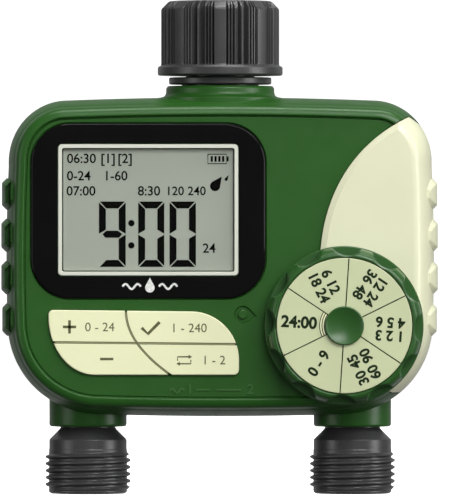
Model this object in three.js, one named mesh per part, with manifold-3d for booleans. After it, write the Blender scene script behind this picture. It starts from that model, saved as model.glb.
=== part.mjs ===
// Two-outlet hose-tap water timer for drip irrigation, in millimetres, +Z up.
// +X is to the right of a person facing the controls, which look along -Y.
// The origin is the middle of the inlet washer's sealing face, on the inlet axis.
import * as THREE from 'three';
import { mergeVertices } from 'three/addons/utils/BufferGeometryUtils.js';
import Module from 'manifold-3d';

const wasm = await Module();
wasm.setup();

// ---------- driving dimensions ----------
const GAP = 0.3;                 // clearance between touching pieces

// case outline, seen from the front: four crowned sides joined by free-form corners
const TOP_Z = -19.8;
const TOP_CROWN = 1247;          // radius of the crowned top
const SIDE_X = 68.4;
const SIDE_CROWN = 607;
const SIDE_MID_Z = -71.6;        // height at which the case is widest
const BOTTOM_Z = -121.8;
const BOTTOM_CROWN = 1279;
const TOP_CORNER = { x: 49.7, z: -41.8, reachX: 9.5, reachZ: 12.3 };
const BOTTOM_CORNER = { x: 39.2, z: -92.5, reachX: 15.2, reachZ: 16.6 };

// case depths
const FACE_Y = -24;              // flat control face
const INNER_FRONT_Y = -21.4;     // inside of the front wall
const BACK_Y = 26;
const INNER_BACK_Y = 22.2;
const PARTING_Y = GAP / 2;       // each shell stops this far from the middle plane
const WALL = 4.2;                // side wall, wide enough for the seal's groove
const PANEL_THICK = 2;
const PANEL_BACK_Y = -3;

// [y, inset from the outline] along the outside of each shell, from the parting plane outwards
const FRONT_RINGS = [
  [-PARTING_Y, 0], [-17, 0.6], [-20.6, 2.1], [-23.6, 2.9], [-25.2, 4.4], [-24.9, 5.5], [FACE_Y, 6.1],
];
const PANEL_RINGS = [[0, 0], [-17, 0.6], [-22.5, 2.6], [-25.3, 5.6], [-26, 9]];
const REAR_RINGS = [[PARTING_Y, 0], [18, 0.8], [24, 3.2], [BACK_Y, 7]];

// water way
const INLET = { boreR: 8, neckR: 11, flangeR: 12.2, collarR: 16.4, throatR: 12.3 };
const NUT = {
  topZ: 11, bottomZ: -12.84, ribR: 19, flangeR: 20, lipR: 11.4, minorR: 12.65, majorR: 13.6,
};
const NUT_FLANGE_Z = -9.83;      // top of the plain flange below the ribs
const NUT_LIP_Z = -6.3;          // the lip that holds the nut on the stem ends here
const NUT_LOBES = 8;
const NUT_THREAD_STEPS = 12;     // per turn
const THREAD_PITCH = 2.209;
const OUTLET_X = 42.3;
const OUTLET = { neckR: 8.8, bodyR: 12.4, coreR: 12.5, threadR: 13.5, boreR: 6.3, endZ: -146.5 };
const OUTLET_FLANGE = { r: 10.5, low: -112.4, high: -111 };
const OUTLET_BOSS = { r: 12.4, z: -125.06, topZ: -112.7 };
const INLET_BOSS = { r: 17.3, z: -16.2, fillet: 1.5 };
const VALVE = { r: 12.5, topZ: -89.4, bottomZ: -109.6, chamberR: 10.6, seatR: 8 };
const SOLENOID = { r: 11, flangeR: 12.3, topZ: -55, flangeZ: -85, bottomZ: -87.6, boreTopZ: -66.6 };
const PLUNGER = { r: 3, bottomZ: -87.3, topZ: -72.4 };
const SPRING = { wireR: 0.4, coilR: 2.3, turns: 3, bottomZ: -72.1, topZ: -66.9 };
const MANIFOLD = { r: 6, boreR: 4.2, barZ: -36, legX: 21, portZ: -100, stubR: 4, stubX: 31.2 };

// dial
const DIAL_X = 39.3;
const DIAL_Z = -92.55;
const DIAL = {
  skirtR: 25.2, gripR: 24.8, rimR: 22.1, plateR: 21.4, capR: 6.2, backY: -26.6, webY: -36, frontY: -37.2,
};
const SCALLOPS = 12;
const SCALLOP = { cutterR: 7, depth: 2.2 };
const SHAFT_R = 3;
const SHAFT_END_Y = -17.8;

// display
const BEZEL_FLOOR_Y = -22.6;     // bottom of the bezel's pocket
const BEZEL = { left: -60, right: 14.3, top: -28.5, bottom: -84, corner: 12.5 };
const FRAME = { left: -51.5, right: 5.8, top: -35, bottom: -76.8, corner: 1.3, band: 1.3 };
const LCD = { frontY: -22.6, backY: -18.4 };

// keypad
const KEYPAD_FRONT_Y = -25.4;
const KEY_BACK_Y = -23.9;
const KEY_FLOOR_Y = -22.8;       // bottom of the keypad's pocket
const KEY_STEM_R = 2.2;
const KEY_STEM_END_Y = -21.5;
const KEY_GROOVE = 0.55;
// column is the side of the curved groove, row the side of the straight one
const KEYS = [
  { name: 'key_plus', x: -44, z: -93.2, column: -1, row: 1 },
  { name: 'key_ok', x: -11, z: -93.8, column: 1, row: 1 },
  { name: 'key_minus', x: -32.5, z: -103.2, column: -1, row: -1 },
  { name: 'key_zone', x: -8, z: -103.4, column: 1, row: -1 },
];

// grip bumps
const GRIP_Z = [-50.8, -64, -77.4, -90.7];
const GRIP = { halfTall: 5.2, reachX: 69.8, rootX: 66.9, frontY: -17, backY: -5, slope: 1.4 };

// battery bay and door
const CELL = { r: 7.25, length: 48.5, y: 16, firstZ: -59.6, step: 14.8, count: 4 };
const BAY = { halfWide: 28.6, top: -52, bottom: -111.6, floorY: 8.4, wall: 1.4 };
const DOOR = { halfWide: 31, top: -50.4, thick: 2, innerY: 24.3, hingeY: 25.3, hingeZ: -112.6 };

// fasteners and electronics
const SCREWS = [[-57, -38], [57, -38], [-59.3, -100], [59.3, -100]];
const SCREW = {
  headR: 2.9, shankR: 1.2, pilotR: 1.5, clearR: 1.8, bossR: 3.7, wellR: 3.2, headY: 8.3, tipY: -11,
};
const BOARD = { halfWide: 52.6, top: -33.5, bottom: -106, frontY: -16.6, backY: -15 };
const STANDOFFS = [[-50, -82], [22, -38], [48, -50], [-46, -103]];

// ---------- materials ----------
const material = (color, roughness, metalness = 0) =>
  new THREE.MeshStandardMaterial({ color, roughness, metalness });
const green = () => material(0x355c30, 0.5);
const cream = () => material(0xe4e6cb, 0.5);
const black = () => material(0x2b2b2c, 0.45);
const gloss = () => material(0x111111, 0.15);
const rubber = () => material(0x1d1d1d, 0.85);
const steel = () => material(0xb8b8b5, 0.3, 1);
const copper = () => material(0xb06a3a, 0.35, 1);

// ---------- geometry helpers ----------
const group = new THREE.Group();

function signedVolume(position, index) {
  const corners = [0, 1, 2].map(() => new THREE.Vector3());
  let sum = 0;
  for (let i = 0; i < index.count; i += 3) {
    corners.forEach((corner, j) => corner.fromBufferAttribute(position, index.getX(i + j)));
    sum += corners[0].dot(corners[1].clone().cross(corners[2]));
  }
  return sum / 6;
}

// a closed three.js geometry as a manifold solid, turned the right way out
function solid(geometry) {
  const bare = geometry.clone();
  bare.deleteAttribute('normal');
  bare.deleteAttribute('uv');
  const merged = mergeVertices(bare, 1e-4);
  const index = Uint32Array.from(merged.index.array);
  if (signedVolume(merged.attributes.position, merged.index) < 0) {
    index.reverse();
  }
  const vertProperties = Float32Array.from(merged.attributes.position.array);
  return new wasm.Manifold(new wasm.Mesh({ numProp: 3, vertProperties, triVerts: index }));
}

function toGeometry(body) {
  const mesh = body.getMesh();
  const geometry = new THREE.BufferGeometry();
  geometry.setAttribute('position', new THREE.BufferAttribute(mesh.vertProperties, 3));
  geometry.setIndex(new THREE.BufferAttribute(mesh.triVerts, 1));
  return geometry;
}

function add(name, body, finish) {
  const mesh = new THREE.Mesh(toGeometry(body), finish);
  mesh.name = name;
  group.add(mesh);
}

const join = (...bodies) => bodies.reduce((sum, body) => sum.add(body));
const cut = (body, ...tools) => tools.reduce((left, tool) => left.subtract(tool), body);

function box(x0, x1, y0, y1, z0, z1) {
  const geometry = new THREE.BoxGeometry(x1 - x0, y1 - y0, z1 - z0);
  return solid(geometry.translate((x0 + x1) / 2, (y0 + y1) / 2, (z0 + z1) / 2));
}

// a round bar along X, Y or Z, from low to high on that axis, through (a, b) on the other two
function bar(axis, r, low, high, a = 0, b = 0, segments = 18) {
  const geometry = new THREE.CylinderGeometry(r, r, high - low, segments);
  const middle = (low + high) / 2;
  if (axis === 'x') {
    geometry.rotateZ(Math.PI / 2).translate(middle, a, b);
  } else if (axis === 'y') {
    geometry.translate(a, middle, b);
  } else {
    geometry.rotateX(Math.PI / 2).translate(a, b, middle);
  }
  return solid(geometry);
}

// a turned body about the vertical line through (x, y); the profile is [radius, z] points
function turned(profile, x = 0, y = 0, segments = 24) {
  const points = profile.map(([r, z]) => new THREE.Vector2(r, z));
  const geometry = new THREE.LatheGeometry(points, segments);
  return solid(geometry.rotateX(Math.PI / 2).translate(x, y, 0));
}

// a body turned about the dial's axis; the profile is [radius, y] points
function turnedOnDial(profile, segments = 30) {
  const points = profile.map(([r, y]) => new THREE.Vector2(r, y));
  return solid(new THREE.LatheGeometry(points, segments).translate(DIAL_X, 0, DIAL_Z));
}

const ring = (outer, inner, low, high) =>
  [[inner, low], [outer, low], [outer, high], [inner, high], [inner, low]];

// an outline drawn in x and z, as a prism from yFront back to yBack
function prism(shape, yFront, yBack, curveSegments = 3) {
  const options = { depth: yBack - yFront, bevelEnabled: false, curveSegments };
  const geometry = new THREE.ExtrudeGeometry(shape, options);
  return solid(geometry.rotateX(Math.PI / 2).translate(0, yBack, 0));
}

function roundedRectangle(left, right, bottom, top, r) {
  const shape = new THREE.Shape();
  shape.moveTo(left + r, bottom);
  shape.lineTo(right - r, bottom);
  shape.absarc(right - r, bottom + r, r, -Math.PI / 2, 0);
  shape.lineTo(right, top - r);
  shape.absarc(right - r, top - r, r, 0, Math.PI / 2);
  shape.lineTo(left + r, top);
  shape.absarc(left + r, top - r, r, Math.PI / 2, Math.PI);
  shape.lineTo(left, bottom + r);
  shape.absarc(left + r, bottom + r, r, Math.PI, 1.5 * Math.PI);
  return shape;
}

// a thread: one helical ridge from rootR out to crestR, climbing from zLow to zHigh
function threadRidge(rootR, crestR, zLow, zHigh, stepsPerTurn = 8) {
  const steps = Math.round(((zHigh - zLow) / THREAD_PITCH) * stepsPerTurn);
  const positions = [];
  const section = [[rootR, -0.45], [crestR, -0.08], [crestR, 0.08], [rootR, 0.45]];
  for (let i = 0; i <= steps; i++) {
    const angle = (i / stepsPerTurn) * 2 * Math.PI;
    const z = zLow + (i / stepsPerTurn) * THREAD_PITCH;
    for (const [r, lift] of section) {
      positions.push(r * Math.cos(angle), r * Math.sin(angle), z + lift * THREAD_PITCH);
    }
  }
  const index = [0, 2, 1, 0, 3, 2];
  for (let i = 0; i < steps; i++) {
    for (let j = 0; j < 4; j++) {
      const a = i * 4 + j;
      const b = i * 4 + ((j + 1) % 4);
      index.push(a, b, a + 4, b, b + 4, a + 4);
    }
  }
  const last = steps * 4;
  index.push(last, last + 1, last + 2, last, last + 2, last + 3);
  const geometry = new THREE.BufferGeometry();
  geometry.setAttribute('position', new THREE.Float32BufferAttribute(positions, 3));
  geometry.setIndex(index);
  return solid(geometry);
}

// ---------- case outline ----------
// the four crowned sides are parabolas, which a quadratic curve draws exactly
function outlineCurves() {
  const top = TOP_CORNER;
  const bottom = BOTTOM_CORNER;
  const v = (x, z) => new THREE.Vector2(x, z);
  const topEndZ = TOP_Z - top.x ** 2 / (2 * TOP_CROWN);
  const bottomEndZ = BOTTOM_Z + bottom.x ** 2 / (2 * BOTTOM_CROWN);
  const rise = top.z - SIDE_MID_Z;
  const fall = bottom.z - SIDE_MID_Z;
  const sideTopX = SIDE_X - rise ** 2 / (2 * SIDE_CROWN);
  const sideLowX = SIDE_X - fall ** 2 / (2 * SIDE_CROWN);
  const crownX = SIDE_X - (rise * fall) / (2 * SIDE_CROWN);
  const crownZ = SIDE_MID_Z + (rise + fall) / 2;
  const topSlope = top.x / TOP_CROWN;
  const bottomSlope = bottom.x / BOTTOM_CROWN;
  const right = [
    new THREE.CubicBezierCurve(v(top.x, topEndZ), v(top.x + top.reachX, topEndZ - top.reachX * topSlope),
      v(sideTopX + (rise / SIDE_CROWN) * top.reachZ, top.z + top.reachZ), v(sideTopX, top.z)),
    new THREE.QuadraticBezierCurve(v(sideTopX, top.z), v(crownX, crownZ), v(sideLowX, bottom.z)),
    new THREE.CubicBezierCurve(v(sideLowX, bottom.z),
      v(sideLowX + (fall / SIDE_CROWN) * bottom.reachZ, bottom.z - bottom.reachZ),
      v(bottom.x + bottom.reachX, bottomEndZ + bottom.reachX * bottomSlope), v(bottom.x, bottomEndZ)),
  ];
  const bottomCrown = new THREE.QuadraticBezierCurve(v(bottom.x, bottomEndZ),
    v(0, 2 * BOTTOM_Z - bottomEndZ), v(-bottom.x, bottomEndZ));
  const topCrown = new THREE.QuadraticBezierCurve(v(-top.x, topEndZ), v(0, 2 * TOP_Z - topEndZ),
    v(top.x, topEndZ));
  return { right, bottomCrown, topCrown };
}

// points of the outline with their outward normals, clockwise seen from the front
function outlinePoints(perCorner = 6, perCrown = 3) {
  const { right, bottomCrown, topCrown } = outlineCurves();
  const sample = (curve, count) => Array.from({ length: count }, (_, i) => {
    const point = curve.getPoint(i / count);
    const tangent = curve.getTangent(i / count);
    return { x: point.x, z: point.y, nx: -tangent.y, nz: tangent.x };
  });
  const counts = [perCorner, perCrown, perCorner];
  const half = right.flatMap((curve, i) => sample(curve, counts[i]));
  const bottom = sample(bottomCrown, perCrown);
  const last = { x: -BOTTOM_CORNER.x, z: bottom[0].z, nx: -bottom[0].nx, nz: bottom[0].nz };
  const mirrored = half.slice(1).reverse().map(({ x, z, nx, nz }) => ({ x: -x, z, nx: -nx, nz }));
  return [...half, ...bottom, last, ...mirrored, ...sample(topCrown, perCrown)];
}

const OUTLINE = outlinePoints();

// a closed shell through rings of the outline, each moved in by its inset
function loft(rings) {
  const count = OUTLINE.length;
  const positions = [];
  for (const [y, inset] of rings) {
    for (const point of OUTLINE) {
      positions.push(point.x - inset * point.nx, y, point.z - inset * point.nz);
    }
  }
  const middleZ = (TOP_Z + BOTTOM_Z) / 2;
  const firstCap = rings.length * count;
  positions.push(0, rings[0][0], middleZ, 0, rings[rings.length - 1][0], middleZ);
  const index = [];
  for (let i = 0; i < count; i++) {
    const next = (i + 1) % count;
    for (let k = 0; k < rings.length - 1; k++) {
      const a = k * count + i;
      const b = k * count + next;
      index.push(a, b, a + count, b, b + count, a + count);
    }
    const last = (rings.length - 1) * count;
    index.push(next, i, firstCap, last + i, last + next, firstCap + 1);
  }
  const geometry = new THREE.BufferGeometry();
  geometry.setAttribute('position', new THREE.Float32BufferAttribute(positions, 3));
  geometry.setIndex(index);
  return solid(geometry);
}

// the same rings moved in by a wall's thickness
const thinner = (rings, by) => rings.map(([y, inset]) => [y + by * Math.sign(-y), inset + by]);

// ---------- outlines on the control face ----------
const displayOutline = (box, grow, corner) =>
  roundedRectangle(box.left - grow, box.right + grow, box.bottom - grow, box.top + grow, corner);

// the keypad field: two tight corners and two wide ones
function keypadOutline(grow) {
  const left = -54.5 - grow;
  const right = 6 + grow;
  const bottom = -108.3 - grow;
  const shape = new THREE.Shape();
  shape.moveTo(left + 1.6, -87.62 + grow);
  shape.lineTo(-9.2, -88.1 + grow);
  shape.bezierCurveTo(-0.7, -88.2 + grow, right, -95.2, right, -103.66);
  shape.lineTo(right, bottom + 1.6);
  shape.absarc(right - 1.6, bottom + 1.6, 1.6, 0, -Math.PI / 2, true);
  shape.lineTo(-39.74, bottom);
  shape.bezierCurveTo(-48, bottom, left, -99.9, left, -90);
  shape.lineTo(left, -89.2 + grow);
  shape.absarc(left + 1.6, -89.2 + grow, 1.6, Math.PI, Math.PI / 2, true);
  return shape;
}

// everything on one side of the keypad's curved groove
function besideCurvedGroove(side) {
  const shift = side * KEY_GROOVE / 2;
  const shape = new THREE.Shape();
  shape.moveTo(side * 90, -80);
  shape.lineTo(-29.9 + shift, -80);
  shape.lineTo(-29.9 + shift, -88.4);
  shape.quadraticCurveTo(-29.7 + shift, -98.5, -15.33 + shift, -108.62);
  shape.lineTo(-12 + shift, -112);
  shape.lineTo(side * 90, -112);
  return shape;
}

// everything above (side 1) or below (side -1) the keypad's straight groove
function besideStraightGroove(side) {
  const shift = side * KEY_GROOVE / 2;
  const shape = new THREE.Shape();
  shape.moveTo(-90, -97.55 + shift);
  shape.lineTo(20, -98.7 + shift);
  shape.lineTo(20, side > 0 ? -80 : -112);
  shape.lineTo(-90, side > 0 ? -80 : -112);
  return shape;
}

// the side panel's edge sweeps from the upper corner down behind the dial to the lower right
function panelOutline(grow) {
  const shape = new THREE.Shape();
  shape.moveTo(60.03, -26.34 + grow);
  shape.bezierCurveTo(41.9 - grow, -34.74 + grow, 31.6 - grow, -52 + grow, 31.6 - grow, -74);
  shape.bezierCurveTo(31.6 - grow, -92 - grow, 40.5, -107 - grow, 54.66, -113.9 - grow);
  shape.lineTo(80, -113.9 - grow);
  shape.lineTo(80, -40);
  shape.lineTo(74 + grow, -40);
  shape.bezierCurveTo(69.5 + grow, -33.5 + grow, 65, -29.3 + grow, 60.03, -26.34 + grow);
  return shape;
}

// ---------- case ----------
// everything in front of (side -1) or behind (side 1) the middle plane
const halfSpace = (side) => (side < 0 ? box(-90, 90, -60, -PARTING_Y, -160, 20)
  : box(-90, 90, PARTING_Y, 60, -160, 20));

function inletBoss(side) {
  const { r, z, fillet } = INLET_BOSS;
  const low = TOP_Z - WALL;
  const foot = TOP_Z + 0.05;
  const profile = [[0, low], [r + fillet, low], [r + fillet, foot], [r, foot + fillet], [r, z], [0, z]];
  return turned(profile, 0, 0, 30).intersect(halfSpace(side));
}

function outletBoss(x, side) {
  const { r, z, topZ } = OUTLET_BOSS;
  const profile = [[0, z], [r, z], [r, topZ], [0, topZ]];
  return turned(profile, x, 0).intersect(halfSpace(side));
}

function pipeHoles() {
  const inlet = bar('z', INLET.throatR + GAP, TOP_Z - 8, 0, 0, 0, 24);
  const outlets = [-OUTLET_X, OUTLET_X].map((x) => bar('z', OUTLET.neckR + GAP, -130, -100, x, 0));
  return [inlet, ...outlets];
}

const sealBand = (y, outer, inner) =>
  cut(loft([[-y, outer], [y, outer]]), loft([[-2 * y, inner], [2 * y, inner]]));

// a row of bevelled grip bumps down one side
function gripBumps(side) {
  const { halfTall, reachX, rootX, frontY, backY, slope } = GRIP;
  const bumps = GRIP_Z.map((z) => {
    const shape = new THREE.Shape();
    shape.moveTo(side * rootX, z - halfTall);
    shape.lineTo(side * (reachX - slope), z - halfTall);
    shape.lineTo(side * reachX, z - halfTall + slope);
    shape.lineTo(side * reachX, z + halfTall - slope);
    shape.lineTo(side * (reachX - slope), z + halfTall);
    shape.lineTo(side * rootX, z + halfTall);
    return prism(shape, frontY, backY);
  });
  return join(...bumps);
}

function sidePanel() {
  const region = prism(panelOutline(0), -40, PANEL_BACK_Y, 7);
  const skin = cut(loft(PANEL_RINGS), loft(thinner(PANEL_RINGS, PANEL_THICK))).intersect(region);
  return cut(join(skin, gripBumps(1)), bar('y', SHAFT_R + 2 * GAP, -30, -20, DIAL_X, DIAL_Z));
}

function frontHousing() {
  const region = prism(panelOutline(GAP), -40, PANEL_BACK_Y + GAP, 7);
  const underPanel = loft(thinner(PANEL_RINGS, PANEL_THICK + GAP)).intersect(halfSpace(-1));
  const cavity = loft([[1, WALL], [-18, WALL], [INNER_FRONT_Y, 8]]);
  const groove = sealBand(1.2, 1.3, 2.9);
  const shell = cut(join(cut(loft(FRONT_RINGS), region), underPanel), cavity, groove);
  const rootY = INNER_FRONT_Y - 0.2;
  const screwBosses = SCREWS.map(([x, z]) => bar('y', SCREW.bossR, rootY, -PARTING_Y, x, z, 12));
  const standoffs = STANDOFFS.map(([x, z]) => bar('y', 2, rootY, BOARD.frontY - GAP, x, z, 8));
  const bosses = [inletBoss(-1), outletBoss(-OUTLET_X, -1), outletBoss(OUTLET_X, -1)];
  const posts = join(...screwBosses, ...standoffs).intersect(underPanel);
  const solidParts = join(shell, ...bosses, posts, gripBumps(-1));
  const window = displayOutline(FRAME, -FRAME.band, 1);
  return cut(solidParts, ...pipeHoles(),
    prism(displayOutline(BEZEL, GAP, BEZEL.corner), -30, BEZEL_FLOOR_Y),
    prism(window, -30, -15),
    prism(keypadOutline(GAP), -30, KEY_FLOOR_Y),
    bar('y', SHAFT_R + 2 * GAP, -30, -15, DIAL_X, DIAL_Z),
    ...KEYS.map(({ x, z }) => bar('y', KEY_STEM_R + 0.4, -30, -15, x, z, 12)),
    ...SCREWS.map(([x, z]) => bar('y', SCREW.pilotR, SCREW.tipY - 1, 1, x, z, 8)));
}

function rearHousing() {
  const { halfWide, top, bottom, floorY, wall } = BAY;
  const cavity = loft([[-1, WALL], [19, WALL], [INNER_BACK_Y, 8]]);
  const shell = cut(loft(REAR_RINGS), cavity, sealBand(1.2, 1.3, 2.9));
  const tray = box(-halfWide - wall, halfWide + wall, floorY - wall, BACK_Y - 1, bottom - wall, top + wall);
  const screwBosses = SCREWS.flatMap(([x, z]) => [bar('y', SCREW.bossR, PARTING_Y, 9, x, z, 12),
    bar('y', SCREW.wellR + wall, 6.5, INNER_BACK_Y + 0.5, x, z, 12)]);
  const bosses = [inletBoss(1), outletBoss(-OUTLET_X, 1), outletBoss(OUTLET_X, 1)];
  const doorReach = DOOR.halfWide + GAP;
  return cut(join(shell, ...bosses, tray, ...screwBosses), ...pipeHoles(),
    box(-halfWide, halfWide, floorY, 40, bottom, top),
    box(-doorReach, doorReach, DOOR.innerY - GAP, 40, DOOR.hingeZ - 1.8, DOOR.top + GAP),
    bar('x', 0.9, -doorReach - 1.5, doorReach + 1.5, DOOR.hingeY, DOOR.hingeZ, 12),
    ...SCREWS.map(([x, z]) => bar('y', SCREW.clearR, -1, 10, x, z, 8)),
    ...SCREWS.map(([x, z]) => bar('y', SCREW.wellR, SCREW.headY - GAP, 40, x, z, 12)));
}

// the door swings on two short pins; a tongue on its free edge reaches into the bay
function batteryDoor() {
  const { halfWide, top, thick, innerY, hingeY, hingeZ } = DOOR;
  const half = thick / 2;
  const plate = box(-halfWide, halfWide, innerY, innerY + thick, hingeZ, top);
  const barrel = bar('x', half, -halfWide, halfWide, hingeY, hingeZ, 20);
  const pins = bar('x', 0.6, -halfWide - 1.4, halfWide + 1.4, hingeY, hingeZ, 12);
  const tongue = box(-5, 5, 20.5, innerY + 0.5, BAY.top - 1.6, BAY.top - 0.8);
  const thumbNotch = bar('z', 9, top - 3, top + 1, 0, innerY + thick + 8, 32);
  return cut(join(plate, barrel, pins, tongue), thumbNotch);
}

function housingSeals() {
  const inlet = bar('z', INLET_BOSS.r + INLET_BOSS.fillet + GAP, -40, 0, 0, 0, 32);
  const outlets = [-OUTLET_X, OUTLET_X].map((x) => bar('z', OUTLET_BOSS.r + GAP, -130, -100, x, 0));
  const band = cut(sealBand(0.9, 1.6, 2.6), inlet, ...outlets);
  const rightHalf = join(box(OUTLET_X, 90, -5, 5, -130, -60), box(0, 90, -5, 5, -60.5, 0));
  const leftHalf = join(box(-90, -OUTLET_X, -5, 5, -130, -60), box(-90, 0, -5, 5, -60.5, 0));
  add('housing_seal_right', band.intersect(rightHalf), rubber());
  add('housing_seal_left', band.intersect(leftHalf), rubber());
  add('housing_seal_bottom', band.intersect(box(-OUTLET_X, OUTLET_X, -5, 5, -130, -100)), rubber());
}

function caseScrews() {
  const { headR, shankR, headY, tipY } = SCREW;
  SCREWS.forEach(([x, z], i) => {
    const screw = join(bar('y', headR, headY, headY + 2.4, x, z, 12),
      bar('y', shankR, tipY, headY + 0.2, x, z, 8));
    const recess = join(box(x - 1.8, x + 1.8, headY + 1.2, headY + 4, z - 0.45, z + 0.45),
      box(x - 0.45, x + 0.45, headY + 1.2, headY + 4, z - 1.8, z + 1.8));
    add(`case_screw_${i + 1}`, cut(screw, recess), steel());
  });
}

// ---------- display ----------
function display() {
  const opening = displayOutline(FRAME, GAP, FRAME.corner);
  const bezel = prism(displayOutline(BEZEL, 0, BEZEL.corner), -24.8, BEZEL_FLOOR_Y - GAP);
  add('display_bezel', cut(bezel, prism(opening, -30, -20)), gloss());
  const frame = prism(displayOutline(FRAME, 0, FRAME.corner), -24.6, BEZEL_FLOOR_Y - GAP);
  add('lcd_frame', cut(frame, prism(displayOutline(FRAME, -FRAME.band, 0.6), -30, -20)), cream());
  const lens = prism(displayOutline(FRAME, -FRAME.band - GAP, 0.6), -23.9, BEZEL_FLOOR_Y - GAP);
  add('display_lens', lens, material(0xa9b0a2, 0.1));
  const panel = prism(displayOutline(FRAME, -FRAME.band - GAP, 0.7), LCD.frontY, LCD.backY);
  add('lcd_panel', panel, material(0x9aa392, 0.3));
}

// ---------- keypad ----------
function keypad() {
  const pad = prism(keypadOutline(0), KEYPAD_FRONT_Y, KEY_BACK_Y);
  for (const { name, x, z, column, row } of KEYS) {
    const face = pad.intersect(prism(besideCurvedGroove(column), -40, -20))
      .intersect(prism(besideStraightGroove(row), -40, -20));
    const stem = bar('y', KEY_STEM_R, KEY_BACK_Y - 0.2, KEY_STEM_END_Y, x, z, 16);
    add(name, join(face, stem), cream());
    const base = box(x - 3, x + 3, -20, BOARD.frontY - GAP, z - 3, z + 3);
    add(name.replace('key', 'switch'), join(base, bar('y', 1.7, -20.4, -19.9, x, z, 12)), black());
  }
}

// ---------- dial ----------
function dial() {
  const { skirtR, gripR, rimR, plateR, capR, backY, webY, frontY } = DIAL;
  const hole = SHAFT_R + GAP;
  const knob = turnedOnDial([[hole, webY + 2], [20.5, webY + 2], [20.5, backY], [skirtR, backY],
    [skirtR, backY - 2.4], [gripR, backY - 2.7], [rimR + 0.5, frontY + 0.4], [rimR, frontY],
    [plateR + GAP, frontY], [plateR + GAP, webY], [hole, webY], [hole, webY + 2]]);
  const scallops = Array.from({ length: SCALLOPS }, (_, i) => {
    const angle = ((i * 360 / SCALLOPS + 28) * Math.PI) / 180;
    const reach = gripR + SCALLOP.cutterR - SCALLOP.depth;
    return bar('y', SCALLOP.cutterR, -45, backY - 2.7, DIAL_X + reach * Math.cos(angle),
      DIAL_Z + reach * Math.sin(angle), 20);
  });
  add('dial_knob', cut(knob, ...scallops), green());
  add('dial_plate', turnedOnDial([[0, webY - GAP], [plateR, webY - GAP], [plateR, frontY + 0.2],
    [plateR - 0.3, frontY - 0.1], [0, frontY - 0.1]], 30), cream());
  const capBack = frontY - 0.4;
  add('dial_cap', turnedOnDial([[0, capBack], [capR, capBack], [capR, capBack - 0.6],
    [capR - 0.5, capBack - 1.1], [3, capBack - 0.7], [0, capBack - 0.6]], 20), green());
  add('dial_shaft', bar('y', SHAFT_R, webY + 0.1, SHAFT_END_Y, DIAL_X, DIAL_Z), black());
  const housing = box(DIAL_X - 7, DIAL_X + 7, -20.9, BOARD.frontY - GAP, DIAL_Z - 7, DIAL_Z + 7);
  const socket = bar('y', SHAFT_R + 0.4, -30, SHAFT_END_Y + GAP, DIAL_X, DIAL_Z);
  add('rotary_switch', cut(housing, socket), black());
}

// ---------- inlet ----------
// eight smooth lobes around the nut with a stepped groove between each pair
function nutOutline() {
  const { ribR } = NUT;
  const halfTurn = Math.PI / NUT_LOBES;
  const steps = [[-0.72, 1.3], [-0.28, 0.8], [-0.24, 0], [0.24, 0], [0.28, 0.8], [0.72, 1.3], [0.84, 0.3],
    [1.16, 0.3]];
  const shape = new THREE.Shape();
  for (let lobe = 0; lobe < NUT_LOBES; lobe++) {
    const middle = lobe * 2 * halfTurn - Math.PI / 2;
    for (const [share, depth] of steps) {
      const angle = middle + share * halfTurn;
      const x = (ribR - depth) * Math.cos(angle);
      const y = (ribR - depth) * Math.sin(angle);
      if (lobe === 0 && share === steps[0][0]) {
        shape.moveTo(x, y);
      } else {
        shape.lineTo(x, y);
      }
    }
  }
  return shape;
}

function inletNut() {
  const { topZ, bottomZ, ribR, flangeR, lipR, minorR, majorR } = NUT;
  const ribbed = new THREE.ExtrudeGeometry(nutOutline(), { depth: topZ - bottomZ, bevelEnabled: false });
  const envelope = turned([[0, NUT_FLANGE_Z - 1], [ribR + 1, NUT_FLANGE_Z - 1], [ribR + 1, topZ - 1.7],
    [ribR - 2.6, topZ], [0, topZ]]);
  const ribs = solid(ribbed.translate(0, 0, bottomZ)).intersect(envelope);
  const flange = turned([[0, bottomZ], [flangeR, bottomZ], [flangeR, NUT_FLANGE_Z], [0, NUT_FLANGE_Z]],
    0, 0, 32);
  const bore = turned([[0, bottomZ - 1], [lipR, bottomZ - 1], [lipR, NUT_LIP_Z], [majorR, NUT_LIP_Z],
    [majorR, topZ - 0.9], [majorR + 1.4, topZ + 0.5], [0, topZ + 0.5]]);
  const crestR = minorR / Math.cos(Math.PI / NUT_THREAD_STEPS);
  const thread = threadRidge(majorR + 0.9, crestR, 1.7, 8.8, NUT_THREAD_STEPS);
  return join(cut(join(ribs, flange), bore), thread);
}

function inlet() {
  const { boreR, neckR, flangeR, collarR, throatR } = INLET;
  add('inlet_nut', inletNut(), black());
  add('inlet_stem', turned([[boreR, -26.4], [14.5, -26.4], [14.5, -24.25], [throatR, -24.25],
    [throatR, -15.66], [collarR, -15.66], [collarR, -13.45], [neckR, -13.45], [neckR, -6],
    [flangeR, -6], [flangeR, -3.3], [boreR, -3.3], [boreR, -26.4]]), black());
  add('inlet_washer', turned(ring(13, 8.5, -3, 0)), rubber());
  const basket = [[0, -14], [7.2, -14], [7.7, -3.6], [7.1, -3.6], [6.7, -13.5], [0, -13.5]];
  add('filter_screen', turned(basket), steel());
}

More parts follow.
